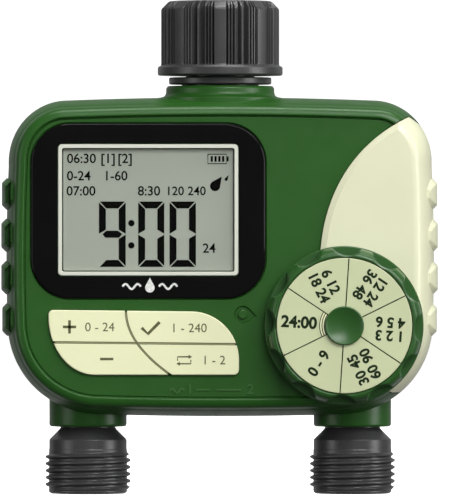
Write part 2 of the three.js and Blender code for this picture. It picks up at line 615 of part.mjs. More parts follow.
// ---------- water way inside the case ----------
function manifold() {
  const { r, boreR, barZ, legX, portZ, stubR, stubX } = MANIFOLD;
  const sides = [-1, 1];
  const outside = join(bar('z', 10, barZ, -26.7), bar('x', r, -legX, legX, 0, barZ, 14),
    ...sides.map((s) => bar('z', r, portZ - r, barZ + r, s * legX, 0, 14)),
    bar('x', stubR, -stubX, -legX, 0, portZ), bar('x', stubR, legX, stubX, 0, portZ));
  return cut(outside, bar('z', INLET.boreR, barZ, -20), bar('x', boreR, -legX, legX, 0, barZ, 12),
    ...sides.map((s) => bar('z', boreR, portZ - boreR, barZ + boreR, s * legX, 0, 12)),
    bar('x', stubR - 1.2, -stubX - 1, -legX, 0, portZ, 12),
    bar('x', stubR - 1.2, legX, stubX + 1, 0, portZ, 12));
}

function valveBody(x) {
  const { r, topZ, bottomZ, chamberR, seatR } = VALVE;
  const { boreR } = OUTLET;
  const profile = [[boreR, bottomZ], [r, bottomZ], [r, topZ], [chamberR, topZ], [chamberR, bottomZ + 3],
    [seatR, bottomZ + 3], [seatR, topZ - 1.5], [boreR, topZ - 1.5], [boreR, bottomZ]];
  const towardsMiddle = Math.sign(x) * (OUTLET_X - r - 1);
  const port = bar('x', MANIFOLD.stubR + GAP, Math.min(towardsMiddle, Math.sign(x) * 32.5),
    Math.max(towardsMiddle, Math.sign(x) * 32.5), 0, MANIFOLD.portZ);
  return cut(turned(profile, x, 0, 20), port);
}

function solenoid(x) {
  const { r, flangeR, topZ, flangeZ, bottomZ, boreTopZ } = SOLENOID;
  const bore = PLUNGER.r + 0.4;
  const profile = [[bore, bottomZ], [flangeR, bottomZ], [flangeR, flangeZ], [r, flangeZ], [r, topZ],
    [0, topZ], [0, boreTopZ], [bore, boreTopZ], [bore, bottomZ]];
  return turned(profile, x, 0, 18);
}

// a helical return spring standing on the plunger
function plungerSpring(x) {
  const { wireR, coilR, turns, bottomZ, topZ } = SPRING;
  const points = [];
  const steps = turns * 8;
  for (let i = 0; i <= steps; i++) {
    const angle = (i / 8) * 2 * Math.PI;
    const z = bottomZ + wireR + ((topZ - bottomZ - 2 * wireR) * i) / steps;
    points.push(new THREE.Vector3(x + coilR * Math.cos(angle), coilR * Math.sin(angle), z));
  }
  return sweep(points, wireR, steps, 4);
}

function sweep(points, r, steps, sides) {
  const section = new THREE.Shape();
  for (let i = 0; i < sides; i++) {
    const angle = (i / sides) * 2 * Math.PI;
    const [x, y] = [r * Math.cos(angle), r * Math.sin(angle)];
    if (i === 0) {
      section.moveTo(x, y);
    } else {
      section.lineTo(x, y);
    }
  }
  const extrudePath = new THREE.CatmullRomCurve3(points);
  return solid(new THREE.ExtrudeGeometry(section, { steps, extrudePath, bevelEnabled: false }));
}

function solenoidLead(side) {
  const route = [[37, -3, SOLENOID.topZ + GAP], [37, -3.5, -51], [37, -7, -47], [37, -12, -46],
    [37, -14.7, -46]];
  const points = route.map(([x, y, z]) => new THREE.Vector3(side * x, y, z));
  return sweep(points, 0.8, 10, 5);
}

function outlet(x) {
  const { neckR, bodyR, coreR, threadR, boreR, endZ } = OUTLET;
  const { r, low, high } = OUTLET_FLANGE;
  const neckEndZ = OUTLET_BOSS.z - 0.6;
  const profile = [[boreR, endZ], [coreR, endZ], [bodyR, -132.2], [bodyR, neckEndZ - 3.5],
    [neckR, neckEndZ], [neckR, low], [r, low], [r, high], [boreR, high], [boreR, endZ]];
  const thread = threadRidge(coreR - 1, threadR, -145.2, -133.4).translate([x, 0, 0]);
  return join(turned(profile, x, 0, 16), thread);
}

function valves() {
  for (const [side, x] of [['left', -OUTLET_X], ['right', OUTLET_X]]) {
    add(`valve_body_${side}`, valveBody(x), black());
    add(`diaphragm_${side}`, bar('z', SOLENOID.flangeR, -89.1, -87.9, x, 0, 28), rubber());
    add(`solenoid_${side}`, solenoid(x), copper());
    add(`plunger_${side}`, bar('z', PLUNGER.r, PLUNGER.bottomZ, PLUNGER.topZ, x, 0, 16), steel());
    add(`plunger_spring_${side}`, plungerSpring(x), steel());
    add(`outlet_gasket_${side}`, turned(ring(10, 6.6, -110.75, -109.85), x, 0, 24), rubber());
    add(`outlet_${side}`, outlet(x), black());
    add(`solenoid_lead_${side}`, solenoidLead(Math.sign(x)), black());
  }
}

// ---------- power and electronics ----------
function batteries() {
  const { r, length, y, firstZ, step, count } = CELL;
  for (let i = 0; i < count; i++) {
    const z = firstZ - i * step;
    const side = i % 2 === 0 ? 1 : -1;
    const can = bar('x', r, -length / 2 - side * 0.75, length / 2 - side * 0.75, y, z, 16);
    const tip = length / 2 + 0.75;
    const nub = bar('x', 2.7, Math.min(side * 20, side * tip), Math.max(side * 20, side * tip), y, z, 10);
    add(`battery_${i + 1}`, join(can, nub), material(0x3b4a6b, 0.35, 0.4));
  }
  const levels = Array.from({ length: count }, (_, i) => firstZ - i * step);
  const pairs = [['left_upper', -1, 0, 1], ['left_lower', -1, 2, 3], ['right_upper', 1, 0, 0],
    ['right_middle', 1, 1, 2], ['right_lower', 1, 3, 3]];
  for (const [name, side, first, last] of pairs) {
    const x = side * (BAY.halfWide - 0.5);
    const plate = box(x - 0.2, x + 0.2, y - 4, y + 4, levels[last] - 4, levels[first] + 4);
    const studs = [...new Set([first, last])].map((i) =>
      bar('x', 2.5, Math.min(x, side * 25.4), Math.max(x, side * 25.4), y, levels[i], 12));
    add(`battery_contact_${name}`, join(plate, ...studs), steel());
  }
}

function circuitBoard() {
  const { halfWide, top, bottom, frontY, backY } = BOARD;
  const board = box(-halfWide, halfWide, frontY, backY, bottom, top);
  const chip = box(-6, 6, backY - 0.1, backY + 1.6, -72, -60);
  const capacitors = [-16, 16].map((x) => bar('y', 4, backY - 0.1, backY + 6, x, -62, 16));
  return join(board, chip, ...capacitors);
}

// ---------- the whole timer ----------
add('front_housing', frontHousing(), green());
add('rear_housing', rearHousing(), green());
add('side_panel', sidePanel(), cream());
add('battery_door', batteryDoor(), green());
housingSeals();
caseScrews();
display();
keypad();
dial();
inlet();
add('manifold', manifold(), black());
valves();
batteries();
add('circuit_board', circuitBoard(), material(0x1f5a34, 0.5));

export default group;
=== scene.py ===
import math

import bmesh
import bpy
from mathutils import Matrix, Vector


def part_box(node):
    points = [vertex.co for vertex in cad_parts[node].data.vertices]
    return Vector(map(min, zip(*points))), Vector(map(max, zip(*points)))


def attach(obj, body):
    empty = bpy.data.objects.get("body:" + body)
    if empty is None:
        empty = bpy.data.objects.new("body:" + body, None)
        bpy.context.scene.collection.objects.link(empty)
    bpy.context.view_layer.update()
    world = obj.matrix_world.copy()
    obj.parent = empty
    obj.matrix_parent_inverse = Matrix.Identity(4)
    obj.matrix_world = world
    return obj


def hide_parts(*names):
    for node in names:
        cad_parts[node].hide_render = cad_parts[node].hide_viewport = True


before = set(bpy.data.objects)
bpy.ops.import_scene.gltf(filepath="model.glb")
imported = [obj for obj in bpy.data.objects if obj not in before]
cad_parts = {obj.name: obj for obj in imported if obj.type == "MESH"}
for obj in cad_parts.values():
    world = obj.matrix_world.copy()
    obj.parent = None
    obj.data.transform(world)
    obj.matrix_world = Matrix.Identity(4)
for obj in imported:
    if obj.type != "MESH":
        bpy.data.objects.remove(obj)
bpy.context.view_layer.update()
MM = 0.001

# --- places read from the frame, in millimetres ---
def centre_mm(node):
    low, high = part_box(node)
    return (low + high) / 2 / MM


DIAL_X = centre_mm("dial_cap").x
DIAL_Z = centre_mm("dial_cap").z
OUTLET_X = centre_mm("outlet_right").x
SCREWS = [(centre.x, centre.z) for centre in (centre_mm(f"case_screw_{i}") for i in range(1, 5))]

# --- driving places: front faces, the door hinge's (y, z), the pointer's (x, z) ---
FACE_Y = -24
BEZEL_Y = -24.8
LCD_Y = -22.6
KEY_Y = -25.4
DIAL_Y = -37.3
PARTING = 0.15
HINGE = (25.3, -112.6)
POINTER = (7.2, -89.1)

# --- case outline, seen from the front ---
TOP_Z, TOP_CROWN = -19.8, 1247
SIDE_X, SIDE_CROWN, SIDE_MID_Z = 68.4, 607, -71.6
BOTTOM_Z, BOTTOM_CROWN = -121.8, 1279
TOP_CORNER = (49.7, -41.8, 9.5, 12.3)  # x, z, and the reach of the corner's curve along x and z
BOTTOM_CORNER = (39.2, -92.5, 15.2, 16.6)
# Each bump's middle z, half its height and how far out it reaches.
GRIPS = ((-50.8, 4.35, 69.6), (-63.95, 4.6, 69.8), (-77.4, 4.65, 69.8), (-90.7, 4.55, 69.5))


def curve_points(controls, count):
    """Points along a Bezier curve of any order, without its last one."""
    points = []
    for i in range(count):
        t = i / count
        level = vectors(*controls)
        while len(level) > 1:
            level = [a.lerp(b, t) for a, b in zip(level, level[1:])]
        points.append(level[0])
    return points


def vectors(*points):
    return [Vector(p) for p in points]


def case_outline(per_side=40, per_corner=36):
    """The case's outline in (x, z), clockwise from the top right corner."""
    top_x, top_z, top_run, top_drop = TOP_CORNER
    low_x, low_z, low_run, low_lift = BOTTOM_CORNER
    crown_z = TOP_Z - top_x ** 2 / (2 * TOP_CROWN)
    sole_z = BOTTOM_Z + low_x ** 2 / (2 * BOTTOM_CROWN)
    rise, fall = top_z - SIDE_MID_Z, low_z - SIDE_MID_Z
    side_top = SIDE_X - rise ** 2 / (2 * SIDE_CROWN)
    side_low = SIDE_X - fall ** 2 / (2 * SIDE_CROWN)
    shoulder = ((top_x, crown_z), (top_x + top_run, crown_z - top_run * top_x / TOP_CROWN),
                (side_top + top_drop * rise / SIDE_CROWN, top_z + top_drop), (side_top, top_z))
    side = ((side_top, top_z), (SIDE_X - rise * fall / (2 * SIDE_CROWN), SIDE_MID_Z + (rise + fall) / 2),
            (side_low, low_z))
    heel = ((side_low, low_z), (side_low + low_lift * fall / SIDE_CROWN, low_z - low_lift),
            (low_x + low_run, sole_z + low_run * low_x / BOTTOM_CROWN), (low_x, sole_z))
    half = curve_points(shoulder, per_corner) + curve_points(side, per_side) + curve_points(heel, per_corner)
    bottom = ((low_x, sole_z), (0, 2 * BOTTOM_Z - sole_z), (-low_x, sole_z))
    crown = ((-top_x, crown_z), (0, 2 * TOP_Z - crown_z), (top_x, crown_z))
    left = vectors((-low_x, sole_z)) + [Vector((-p.x, p.y)) for p in reversed(half[1:])]
    return half + curve_points(bottom, per_side) + left + curve_points(crown, per_side)


# --- outlines ---
def signed_area(outline):
    return sum(a.x * b.y - b.x * a.y for a, b in zip(outline, outline[1:] + outline[:1])) / 2


def inset(outline, distance):
    """The outline moved inwards by a distance, corner by corner."""
    turn = 1 if signed_area(outline) > 0 else -1
    moved = []
    count = len(outline)
    for i, point in enumerate(outline):
        before = (point - outline[i - 1]).normalized()
        after = (outline[(i + 1) % count] - point).normalized()
        normal = Vector((-before.y - after.y, before.x + after.x)) * turn
        normal.normalize()
        cosine = max(0.35, normal.dot(Vector((-after.y, after.x)) * turn))
        moved.append(point + normal * distance / cosine)
    return moved


def arc(cx, cz, r, start, end, steps):
    angles = [math.radians(start + (end - start) * i / steps) for i in range(steps + 1)]
    return [Vector((cx + r * math.cos(a), cz + r * math.sin(a))) for a in angles]


def rounded_box(left, right, low, high, r, steps):
    return (arc(right - r, low + r, r, -90, 0, steps) + arc(right - r, high - r, r, 0, 90, steps)
            + arc(left + r, high - r, r, 90, 180, steps) + arc(left + r, low + r, r, 180, 270, steps))


def grown(box, by, steps):
    """A rounded box's outline, larger by a distance all round."""
    left, right, low, high, r = box
    return rounded_box(left - by, right + by, low - by, high + by, r + by, steps)


def circle(cx, cz, r, steps):
    return arc(cx, cz, r, 0, 360, steps)[:-1]


def soften(profile, steps=5):
    """Rounds a profile's corners: each point is (a, b, setback)."""
    points = []
    last = len(profile) - 1
    for i, (a, b, setback) in enumerate(profile):
        corner = Vector((a, b))
        if setback == 0 or i in (0, last):
            points.append(corner)
            continue
        to_before = (Vector(profile[i - 1][:2]) - corner).normalized() * setback
        to_after = (Vector(profile[i + 1][:2]) - corner).normalized() * setback
        controls = (corner + to_before, corner, corner + to_after)
        points += curve_points(controls, steps) + [corner + to_after]
    return [(p.x, p.y) for p in points]


# --- mesh building ---
def new_object(name, mesh):
    obj = bpy.data.objects.new(name, mesh)
    bpy.context.scene.collection.objects.link(obj)
    return obj


def make(name, points, faces, weld=True):
    """An object from points in millimetres."""
    mesh = bpy.data.meshes.new(name)
    mesh.from_pydata([Vector(p) * MM for p in points], [], faces)
    mesh.validate()
    bm = bmesh.new()
    bm.from_mesh(mesh)
    if weld:
        bmesh.ops.remove_doubles(bm, verts=bm.verts, dist=1e-7)
    bmesh.ops.recalc_face_normals(bm, faces=bm.faces)
    bm.to_mesh(mesh)
    bm.free()
    return new_object(name, mesh)


def grid_faces(rings, around, closed=False):
    """The faces between rings of points; closed joins the last ring to the first, and caps no ends."""
    faces = []
    for k in range(rings if closed else rings - 1):
        for i in range(around):
            j = (i + 1) % around
            a, b = k * around, ((k + 1) % rings) * around
            faces.append((a + i, a + j, b + j, b + i))
    if not closed:
        faces += [tuple(range(around)), tuple(range((rings - 1) * around, rings * around))]
    return faces


def loft_sections(name, sections):
    """A closed solid through outlines in (x, z) with equally many points: each section is (y, outline)."""
    points = [(p.x, y, p.y) for y, outline in sections for p in outline]
    return make(name, points, grid_faces(len(sections), len(sections[0][1])))


def loft(name, outline, rings):
    """The same from one outline: each ring is (y, inset)."""
    return loft_sections(name, [(y, inset(outline, amount) if amount else outline) for y, amount in rings])


def turned(name, profile, place, steps, closed, radius):
    """A turned solid: profile is (r, along), and place(across, aside, along) says where a point goes."""
    points = []
    for r, along in profile:
        for i in range(steps):
            angle = 2 * math.pi * i / steps
            reach = radius(r, along, angle) if radius else r
            points.append(place(reach * math.cos(angle), reach * math.sin(angle), along))
    return make(name, points, grid_faces(len(profile), steps, closed))


def around_z(name, profile, x=0, y=0, steps=128, closed=True, radius=None):
    """A turned solid about a vertical line; profile is (r, z), and radius(r, z, angle) can shape it."""
    return turned(name, profile, lambda a, b, z: (x + a, y + b, z), steps, closed, radius)


def around_y(name, profile, steps=160, closed=True, radius=None, x=DIAL_X, z=DIAL_Z):
    """The same about a line to the front, the dial's axis if no other is given; profile is (r, y)."""
    return turned(name, profile, lambda a, b, y: (x + a, y, z + b), steps, closed, radius)


def bar(name, axis, r, low, high, a, b, steps=32, bevel=0.0):
    """A round bar along x, y or z through (a, b) on the other two axes."""
    profile = [(0.001, low), (r - bevel, low), (r, low + bevel), (r, high - bevel), (r - bevel, high),
               (0.001, high)]
    places = {"x": lambda p, q, along: (along, a + p, b + q), "y": lambda p, q, along: (a + p, along, b + q),
              "z": lambda p, q, along: (a + p, b + q, along)}
    return turned(name, profile, places[axis], steps, False, None)


def block(name, x0, x1, y0, y1, z0, z1, bevel):
    """A box with rounded edges."""
    bm = bmesh.new()
    bmesh.ops.create_cube(bm, size=1)
    for v in bm.verts:
        v.co = Vector(((x0, x1)[v.co.x > 0], (y0, y1)[v.co.y > 0], (z0, z1)[v.co.z > 0])) * MM
    if bevel:
        bmesh.ops.bevel(bm, geom=bm.edges[:], offset=bevel * MM, segments=3, affect="EDGES", profile=0.5)
    mesh = bpy.data.meshes.new(name)
    bm.to_mesh(mesh)
    bm.free()
    return new_object(name, mesh)


def settle(obj):
    """Applies the modifiers."""
    bpy.context.view_layer.update()
    depsgraph = bpy.context.evaluated_depsgraph_get()
    mesh = bpy.data.meshes.new_from_object(obj.evaluated_get(depsgraph))
    obj.modifiers.clear()
    obj.data = mesh
    return obj


def combine(obj, tools, operation):
    """Cuts, joins or meets obj with each tool, which is used up."""
    for tool in tools:
        step = obj.modifiers.new("step", "BOOLEAN")
        step.solver = "MANIFOLD"
        step.operation = operation
        step.object = tool
    settle(obj)
    for tool in tools:
        bpy.data.objects.remove(tool)
    return obj


def cut(obj, *tools):
    return combine(obj, tools, "DIFFERENCE")


def join(obj, *tools):
    return combine(obj, tools, "UNION")


def meet(obj, *tools):
    return combine(obj, tools, "INTERSECT")


def smooth(obj, angle=32):
    """Smooth shading with edges sharper than an angle kept."""
    obj.data.shade_smooth()
    obj.data.set_sharp_from_angle(angle=math.radians(angle))
    step = obj.modifiers.new("normals", "WEIGHTED_NORMAL")
    step.keep_sharp = True
    step.weight = 80
    return settle(obj)


def finish_piece(obj, material, slot, *nodes, body="housing"):
    """Gives a piece its material, the CAD nodes that it stands for and the body that it rides; the slot is
    not used.
    """
    obj.data.materials.clear()
    obj.data.materials.append(material)
    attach(obj, body)
    if nodes:
        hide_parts(*nodes)


# --- materials ---
def new_material(name):
    material = bpy.data.materials.new(name)
    material.use_nodes = True
    return material, material.node_tree


def fill(node, **values):
    """Gives a shader node its inputs' values: From_Min is the input "From Min"."""
    for key, value in values.items():
        node.inputs[key.replace("_", " ")].default_value = value
    return node


def link(output, socket):
    socket.id_data.links.new(output, socket)


def add(tree, kind, **values):
    return fill(tree.nodes.new("ShaderNode" + kind), **values)


def shader(name, color, roughness, metallic=0.0, specular=0.5, coat=0.0):
    material, tree = new_material(name)
    bsdf = fill(tree.nodes["Principled BSDF"], Base_Color=(*color, 1), Roughness=roughness,
                Metallic=metallic, Specular_IOR_Level=specular, Coat_Weight=coat)
    return material, tree, bsdf


def object_place(tree):
    """The place in the object's own metres."""
    return tree.nodes.new("ShaderNodeTexCoord").outputs["Object"]


def noise(tree, scale, detail, stretch=None):
    """A noise texture's value."""
    texture = add(tree, "TexNoise", Scale=scale, Detail=detail)
    source = object_place(tree)
    if stretch:
        mapping = add(tree, "Mapping", Scale=stretch)
        link(source, mapping.inputs["Vector"])
        source = mapping.outputs["Vector"]
    link(source, texture.inputs["Vector"])
    return texture.outputs["Fac"]


def vary(tree, factor, low, high, bsdf):
    """Drives a shader's roughness from a texture, between low and high."""
    spread = add(tree, "MapRange", From_Min=0.3, From_Max=0.7, To_Min=low, To_Max=high)
    link(factor, spread.inputs["Value"])
    link(spread.outputs["Result"], bsdf.inputs["Roughness"])


def tint(tree, factor, dark, light, bsdf):
    """Drives a shader's colour from a texture, between two colours."""
    ramp = add(tree, "ValToRGB")
    for element, position, color in zip(ramp.color_ramp.elements, (0.35, 0.65), (dark, light)):
        element.position = position
        element.color = (*color, 1)
    link(factor, ramp.inputs["Fac"])
    link(ramp.outputs["Color"], bsdf.inputs["Base Color"])


def scaled(color, by):
    return [min(1, c * by) for c in color]


def bump(tree, height, distance, bsdf, strength=1.0):
    node = add(tree, "Bump", Strength=strength, Distance=distance)
    link(height, node.inputs["Height"])
    link(node.outputs["Normal"], bsdf.inputs["Normal"])


def moulded(name, color, roughness, grain=0.000012, specular=0.5, spread=0.04):
    """Injection-moulded plastic: faint flow clouds, uneven sheen and a fine spark-eroded grain."""
    material, tree, bsdf = shader(name, color, roughness, specular=specular)
    cloud = noise(tree, 55, 5)
    tint(tree, cloud, scaled(color, 1 - spread), scaled(color, 1 + spread), bsdf)
    vary(tree, noise(tree, 240, 3), roughness - 0.04, roughness + 0.05, bsdf)
    bump(tree, noise(tree, 5200, 2), grain, bsdf)
    return material


def metal(name, color, roughness, stretch):
    """Drawn or turned metal, with fine streaks."""
    material, tree, bsdf = shader(name, color, roughness, metallic=1.0)
    streak = noise(tree, 900, 3, stretch)
    vary(tree, streak, roughness - 0.1, roughness + 0.12, bsdf)
    tint(tree, streak, scaled(color, 0.86), color, bsdf)
    bump(tree, streak, 0.00001, bsdf, 0.5)
    return material


def printed(name, color, roughness=0.6, specular=0.15):
    """Printing ink: nearly even, with a little mottle."""
    material, tree, bsdf = shader(name, color, roughness, specular=specular)
    tint(tree, noise(tree, 1600, 2), scaled(color, 0.8), scaled(color, 1.1), bsdf)
    return material


def clear_lens(name):
    """A thin clear window: almost all light goes straight through."""
    material, tree = new_material(name)
    tree.nodes.remove(tree.nodes["Principled BSDF"])
    through = add(tree, "BsdfTransparent", Color=(0.97, 0.98, 0.96, 1))
    gloss = add(tree, "BsdfGlossy")
    vary(tree, noise(tree, 90, 4), 0.03, 0.09, gloss)
    mix = add(tree, "MixShader", Fac=0.015)
    link(through.outputs["BSDF"], mix.inputs[1])
    link(gloss.outputs["BSDF"], mix.inputs[2])
    link(mix.outputs["Shader"], tree.nodes["Material Output"].inputs["Surface"])
    return material


def board_material():
    """A green circuit board with copper tracks under the lacquer."""
    lacquer = (0.01, 0.1, 0.03)
    material, tree, bsdf = shader("board", lacquer, 0.35)
    tracks = add(tree, "TexBrick", Scale=90, Mortar_Size=0.012, Color1=(*lacquer, 1),
                 Color2=(0.012, 0.12, 0.04, 1), Mortar=(0.05, 0.22, 0.06, 1))
    turn = add(tree, "Mapping", Rotation=(math.pi / 2, 0, 0))
    link(object_place(tree), turn.inputs["Vector"])
    link(turn.outputs["Vector"], tracks.inputs["Vector"])
    link(tracks.outputs["Color"], bsdf.inputs["Base Color"])
    bump(tree, tracks.outputs["Fac"], 0.00003, bsdf)
    return material


def winding_material():
    """Enamelled wire wound round a vertical core, darker between the turns as painted shade."""
    material, tree, bsdf = shader("winding", (0.42, 0.13, 0.04), 0.3, metallic=0.8)
    turns = add(tree, "TexWave", Scale=600, Distortion=0.3)
    turns.bands_direction = "Z"
    link(object_place(tree), turns.inputs["Vector"])
    # the colour darkens between the turns: painted shade in the creases of the winding
    tint(tree, turns.outputs["Fac"], (0.2, 0.06, 0.02), (0.5, 0.17, 0.06), bsdf)
    bump(tree, turns.outputs["Fac"], 0.0002, bsdf)
    return material


def cell_material():
    """A battery's printed sleeve: dark with a lighter band near one end."""
    material, tree, bsdf = shader("cell_sleeve", (0.03, 0.05, 0.12), 0.25, metallic=0.3, coat=0.4)
    split = add(tree, "SeparateXYZ")
    link(object_place(tree), split.inputs["Vector"])
    along = add(tree, "MapRange", From_Min=-0.0255, From_Max=0.0255)
    link(split.outputs["X"], along.inputs["Value"])
    ramp = add(tree, "ValToRGB")
    ramp.color_ramp.interpolation = "CONSTANT"
    ramp.color_ramp.elements[0].color = (0.02, 0.035, 0.1, 1)
    ramp.color_ramp.elements[1].position = 0.68
    ramp.color_ramp.elements[1].color = (0.55, 0.42, 0.14, 1)
    link(along.outputs["Result"], ramp.inputs["Fac"])
    link(ramp.outputs["Color"], bsdf.inputs["Base Color"])
    vary(tree, noise(tree, 300, 3), 0.2, 0.34, bsdf)
    return material


green = moulded("green_plastic", (0.016, 0.082, 0.009), 0.37, grain=0.000005, specular=0.4)
# a lighter copy of the case green: painted highlight on the raised scale below the keypad
green_painted_highlight = moulded("green_raised_painted_highlight", (0.034, 0.115, 0.024), 0.4, grain=0.000005, specular=0.4)
green_knob = moulded("green_knob_plastic", (0.02, 0.082, 0.014), 0.34, grain=0.000003)
cream = moulded("cream_plastic", (0.66, 0.668, 0.468), 0.35, specular=0.7, spread=0.015)
cream_frame = moulded("cream_frame_plastic", (0.62, 0.64, 0.55), 0.4, spread=0.015)
cream_key = moulded("cream_key_plastic", (0.76, 0.775, 0.5), 0.5, specular=0.3, spread=0.015)
# a darkened cream: painted shade for the grooves between the keys
cream_groove_shade = moulded("cream_painted_groove_shade", (0.27, 0.28, 0.15), 0.6, specular=0.2, spread=0.015)
cream_dial = moulded("cream_dial_plastic", (0.505, 0.548, 0.335), 0.55, specular=0.3, spread=0.02)
black = moulded("black_plastic", (0.044, 0.044, 0.0445), 0.33, grain=0.000004, spread=0.12)
gloss_black = moulded("gloss_black_plastic", (0.0045, 0.0045, 0.0045), 0.1, 0.0, specular=0.1, spread=0.1)
lcd_grey = moulded("lcd_film", (0.365, 0.38, 0.35), 0.5, grain=0.000003, specular=0.2, spread=0.01)
lcd_ink = printed("lcd_segments", (0.002, 0.0022, 0.002), 0.9, 0.0)
dial_ink = printed("dial_print", (0.009, 0.02, 0.006))
key_ink = printed("key_print", (0.115, 0.12, 0.055))
white_ink = printed("white_print", (0.72, 0.73, 0.7))
lens_clear = clear_lens("window_plastic")
rubber = moulded("black_rubber", (0.012, 0.012, 0.012), 0.75, grain=0.00003, spread=0.2)
steel = metal("steel", (0.56, 0.56, 0.54), 0.32, (1, 0.1, 1))
winding = winding_material()
board = board_material()
cell = cell_material()


# --- outlines on the control face ---
BEZEL = (-60, 14.3, -84, -28.5, 12.5)  # left, right, low, high and the corners' radius
SCREEN = (-51.5, 5.8, -76.8, -35, 1.3)
SCREEN_BAND = 1.3
KEY_GROOVE = 0.74
ROW_GROOVE_Z = -97.55


def panel_outline(grow=0.0, steps=48):
    """The cream side panel's area: from the upper corner down behind the dial to the lower right."""
    inner, top, low = 31.6 - grow, -26.34 + grow, -113.9 - grow
    upper = ((60.03, top), (41.9 - grow, -34.74 + grow), (inner, -52 + grow), (inner, -74))
    lower = ((inner, -74), (inner, -92 - grow), (40.5, -107 - grow), (54.66, low))
    shoulder = ((74 + grow, -40), (69.5 + grow, -33.5 + grow), (65, -29.3 + grow), (60.03, top))
    corners = vectors((54.66, low), (80, low), (80, -40))
    return curve_points(upper, steps) + curve_points(lower, steps) + corners + curve_points(shoulder, steps)


def keypad_outline(grow=0.0, steps=24):
    left, right, low, r = -54.5 - grow, 6 + grow, -108.3 - grow, 1.6
    top = ((-9.2, -88.1 + grow), (-0.7, -88.2 + grow), (right, -95.2), (right, -103.66))
    side = ((-39.74, low), (-48, low), (left, -99.9), (left, -90))
    return (vectors((left + r, -87.62 + grow)) + curve_points(top, steps) + vectors(top[-1])
            + arc(right - r, low + r, r, 0, -90, 8) + curve_points(side, steps)
            + arc(left + r, -89.2 + grow, r, 180, 90, 8)[:-1])


def groove_curve():
    """The middle of the groove that parts the left keys from the right ones."""
    controls = ((-29.9, -88.4), (-29.7, -98.5), (-15.33, -108.62))
    return curve_points(controls, 24) + vectors(controls[-1])


def key_groove_shade_strips():
    """Low ribs in the grooves between the keys, coloured a dark olive cream as painted shade in the grooves.
    """
    level = [Vector((x, ROW_GROOVE_Z - (x + 90) * 1.15 / 110)) for x in (-52.4, 4.7)]
    ribs = decal("key_groove_shade_strips", [stroke(groove_curve()[:-1], 0.46), stroke(level, 0.46)], -22.78, 2.27)
    finish_piece(ribs, cream_groove_shade, "cream_plastic")


def key_region(column, row):
    """The quarter of the keypad that one key fills, with bevels along the grooves between keys."""
    high, low, far = -80, -112, 90
    edge = vectors((-29.9, high)) + groove_curve() + vectors((-10.53, low))
    columns, rows = [], []
    for y, back in ((-20, 0), (KEY_Y + 0.1, 0), (KEY_Y - 0.1, 0.14)):
        shift = KEY_GROOVE / 2 + back
        outer = vectors((column * far, low), (column * far, high))
        columns.append((y, moved_aside(edge, column * shift) + outer))
        rows.append((y, vectors((-far, ROW_GROOVE_Z + row * shift), (far, ROW_GROOVE_Z - 1.88 + row * shift),
                                (far, -98 + row * 40), (-far, -98 + row * 40))))
    return meet(loft_sections("key_region", columns), loft_sections("key_row", rows))


def round_corners(outline, r, turn=25, steps=5):
    """Replaces each sharp corner of a closed outline by an arc."""
    points = []
    for i, corner in enumerate(outline):
        one, two = corner - outline[i - 1], outline[(i + 1) % len(outline)] - corner
        bend = abs(one.angle_signed(two))
        if math.degrees(bend) < turn:
            points.append(corner)
            continue
        back = r * math.tan(bend / 2)
        start, end = corner - one.normalized() * back, corner + two.normalized() * back
        middle = corner + ((start + end) / 2 - corner).normalized() * math.hypot(back, r)
        spokes = [(start - middle).lerp(end - middle, k / steps) for k in range(steps + 1)]
        points += [middle + spoke.normalized() * r for spoke in spokes]
    return points


# --- case ---
WALL = 4.2
POST_R = 3.7
DIAL_HOLE_R = 3.6
FRONT_PROFILE = soften([
    (-PARTING, 0.25, 0), (-0.5, 0, 0.1), (-14, 0.35, 3), (-20.3, 1.95, 1.6), (-21.3, 2.5, 0.7),
    (-22.3, 2.7, 0.4), (-24.25, 3.2, 1.2), (-24.9, 4.4, 0.4), (-25.15, 5.15, 0.3), (-25.2, 5.75, 0.25),
    (-24.7, 6, 0.15), (-23.6, 6.08, 0.08), (-23.6, 6.36, 0.08), (FACE_Y, 6.56, 0.15), (FACE_Y, 7.2, 0),
])
PANEL_PROFILE = soften([
    (0, 0, 0), (-14, 0.35, 4), (-20.4, 1.7, 2.4), (-23.8, 3.6, 1.4), (-25.5, 5.3, 0.8), (-26, 6.7, 0.5),
    (-26, 9, 0),
])
UNDER_PANEL = [(-PARTING, 2.3), (-14.7, 2.9), (-20.2, 4.9), (-23, 7.9), (-23.7, 11.3)]
REAR_PROFILE = soften([
    (PARTING, 0.25, 0), (0.5, 0, 0.1), (18, 0.8, 4), (22.6, 2.4, 2), (25.2, 4.6, 1.5), (26, 7.4, 1),
    (26, 9, 0),
])


def pipe_holes():
    holes = [bar("hole", "z", 12.6, TOP_Z - 8, 0, 0, 0, 64)]
    return holes + [bar("hole", "z", 9.1, -130, -100, x, 0, 64) for x in (-OUTLET_X, OUTLET_X)]


def half_bosses(side):
    """The collars round the inlet and outlets, cut at the parting plane."""
    collar = soften([
        (0.01, -24, 0), (19.9, -24, 0), (19.9, TOP_Z - 0.15, 0.1), (17.35, TOP_Z + 0.25, 1.5),
        (17.3, -16.8, 0.4), (16.75, -16.2, 0.2), (0.01, -16.2, 0)])
    socket = soften([
        (0.01, -112.7, 0), (12.4, -112.7, 0), (12.4, -124.5, 0.3), (11.9, -125.06, 0.3), (0.01, -125.06, 0)])
    bosses = [around_z("boss", collar, steps=144, closed=False)]
    bosses += [around_z("boss", socket, x, 0, 128, False) for x in (-OUTLET_X, OUTLET_X)]
    low, high = (-60, -PARTING) if side < 0 else (PARTING, 60)
    return [meet(boss, block("half", -90, 90, low, high, -160, 20, 0)) for boss in bosses]


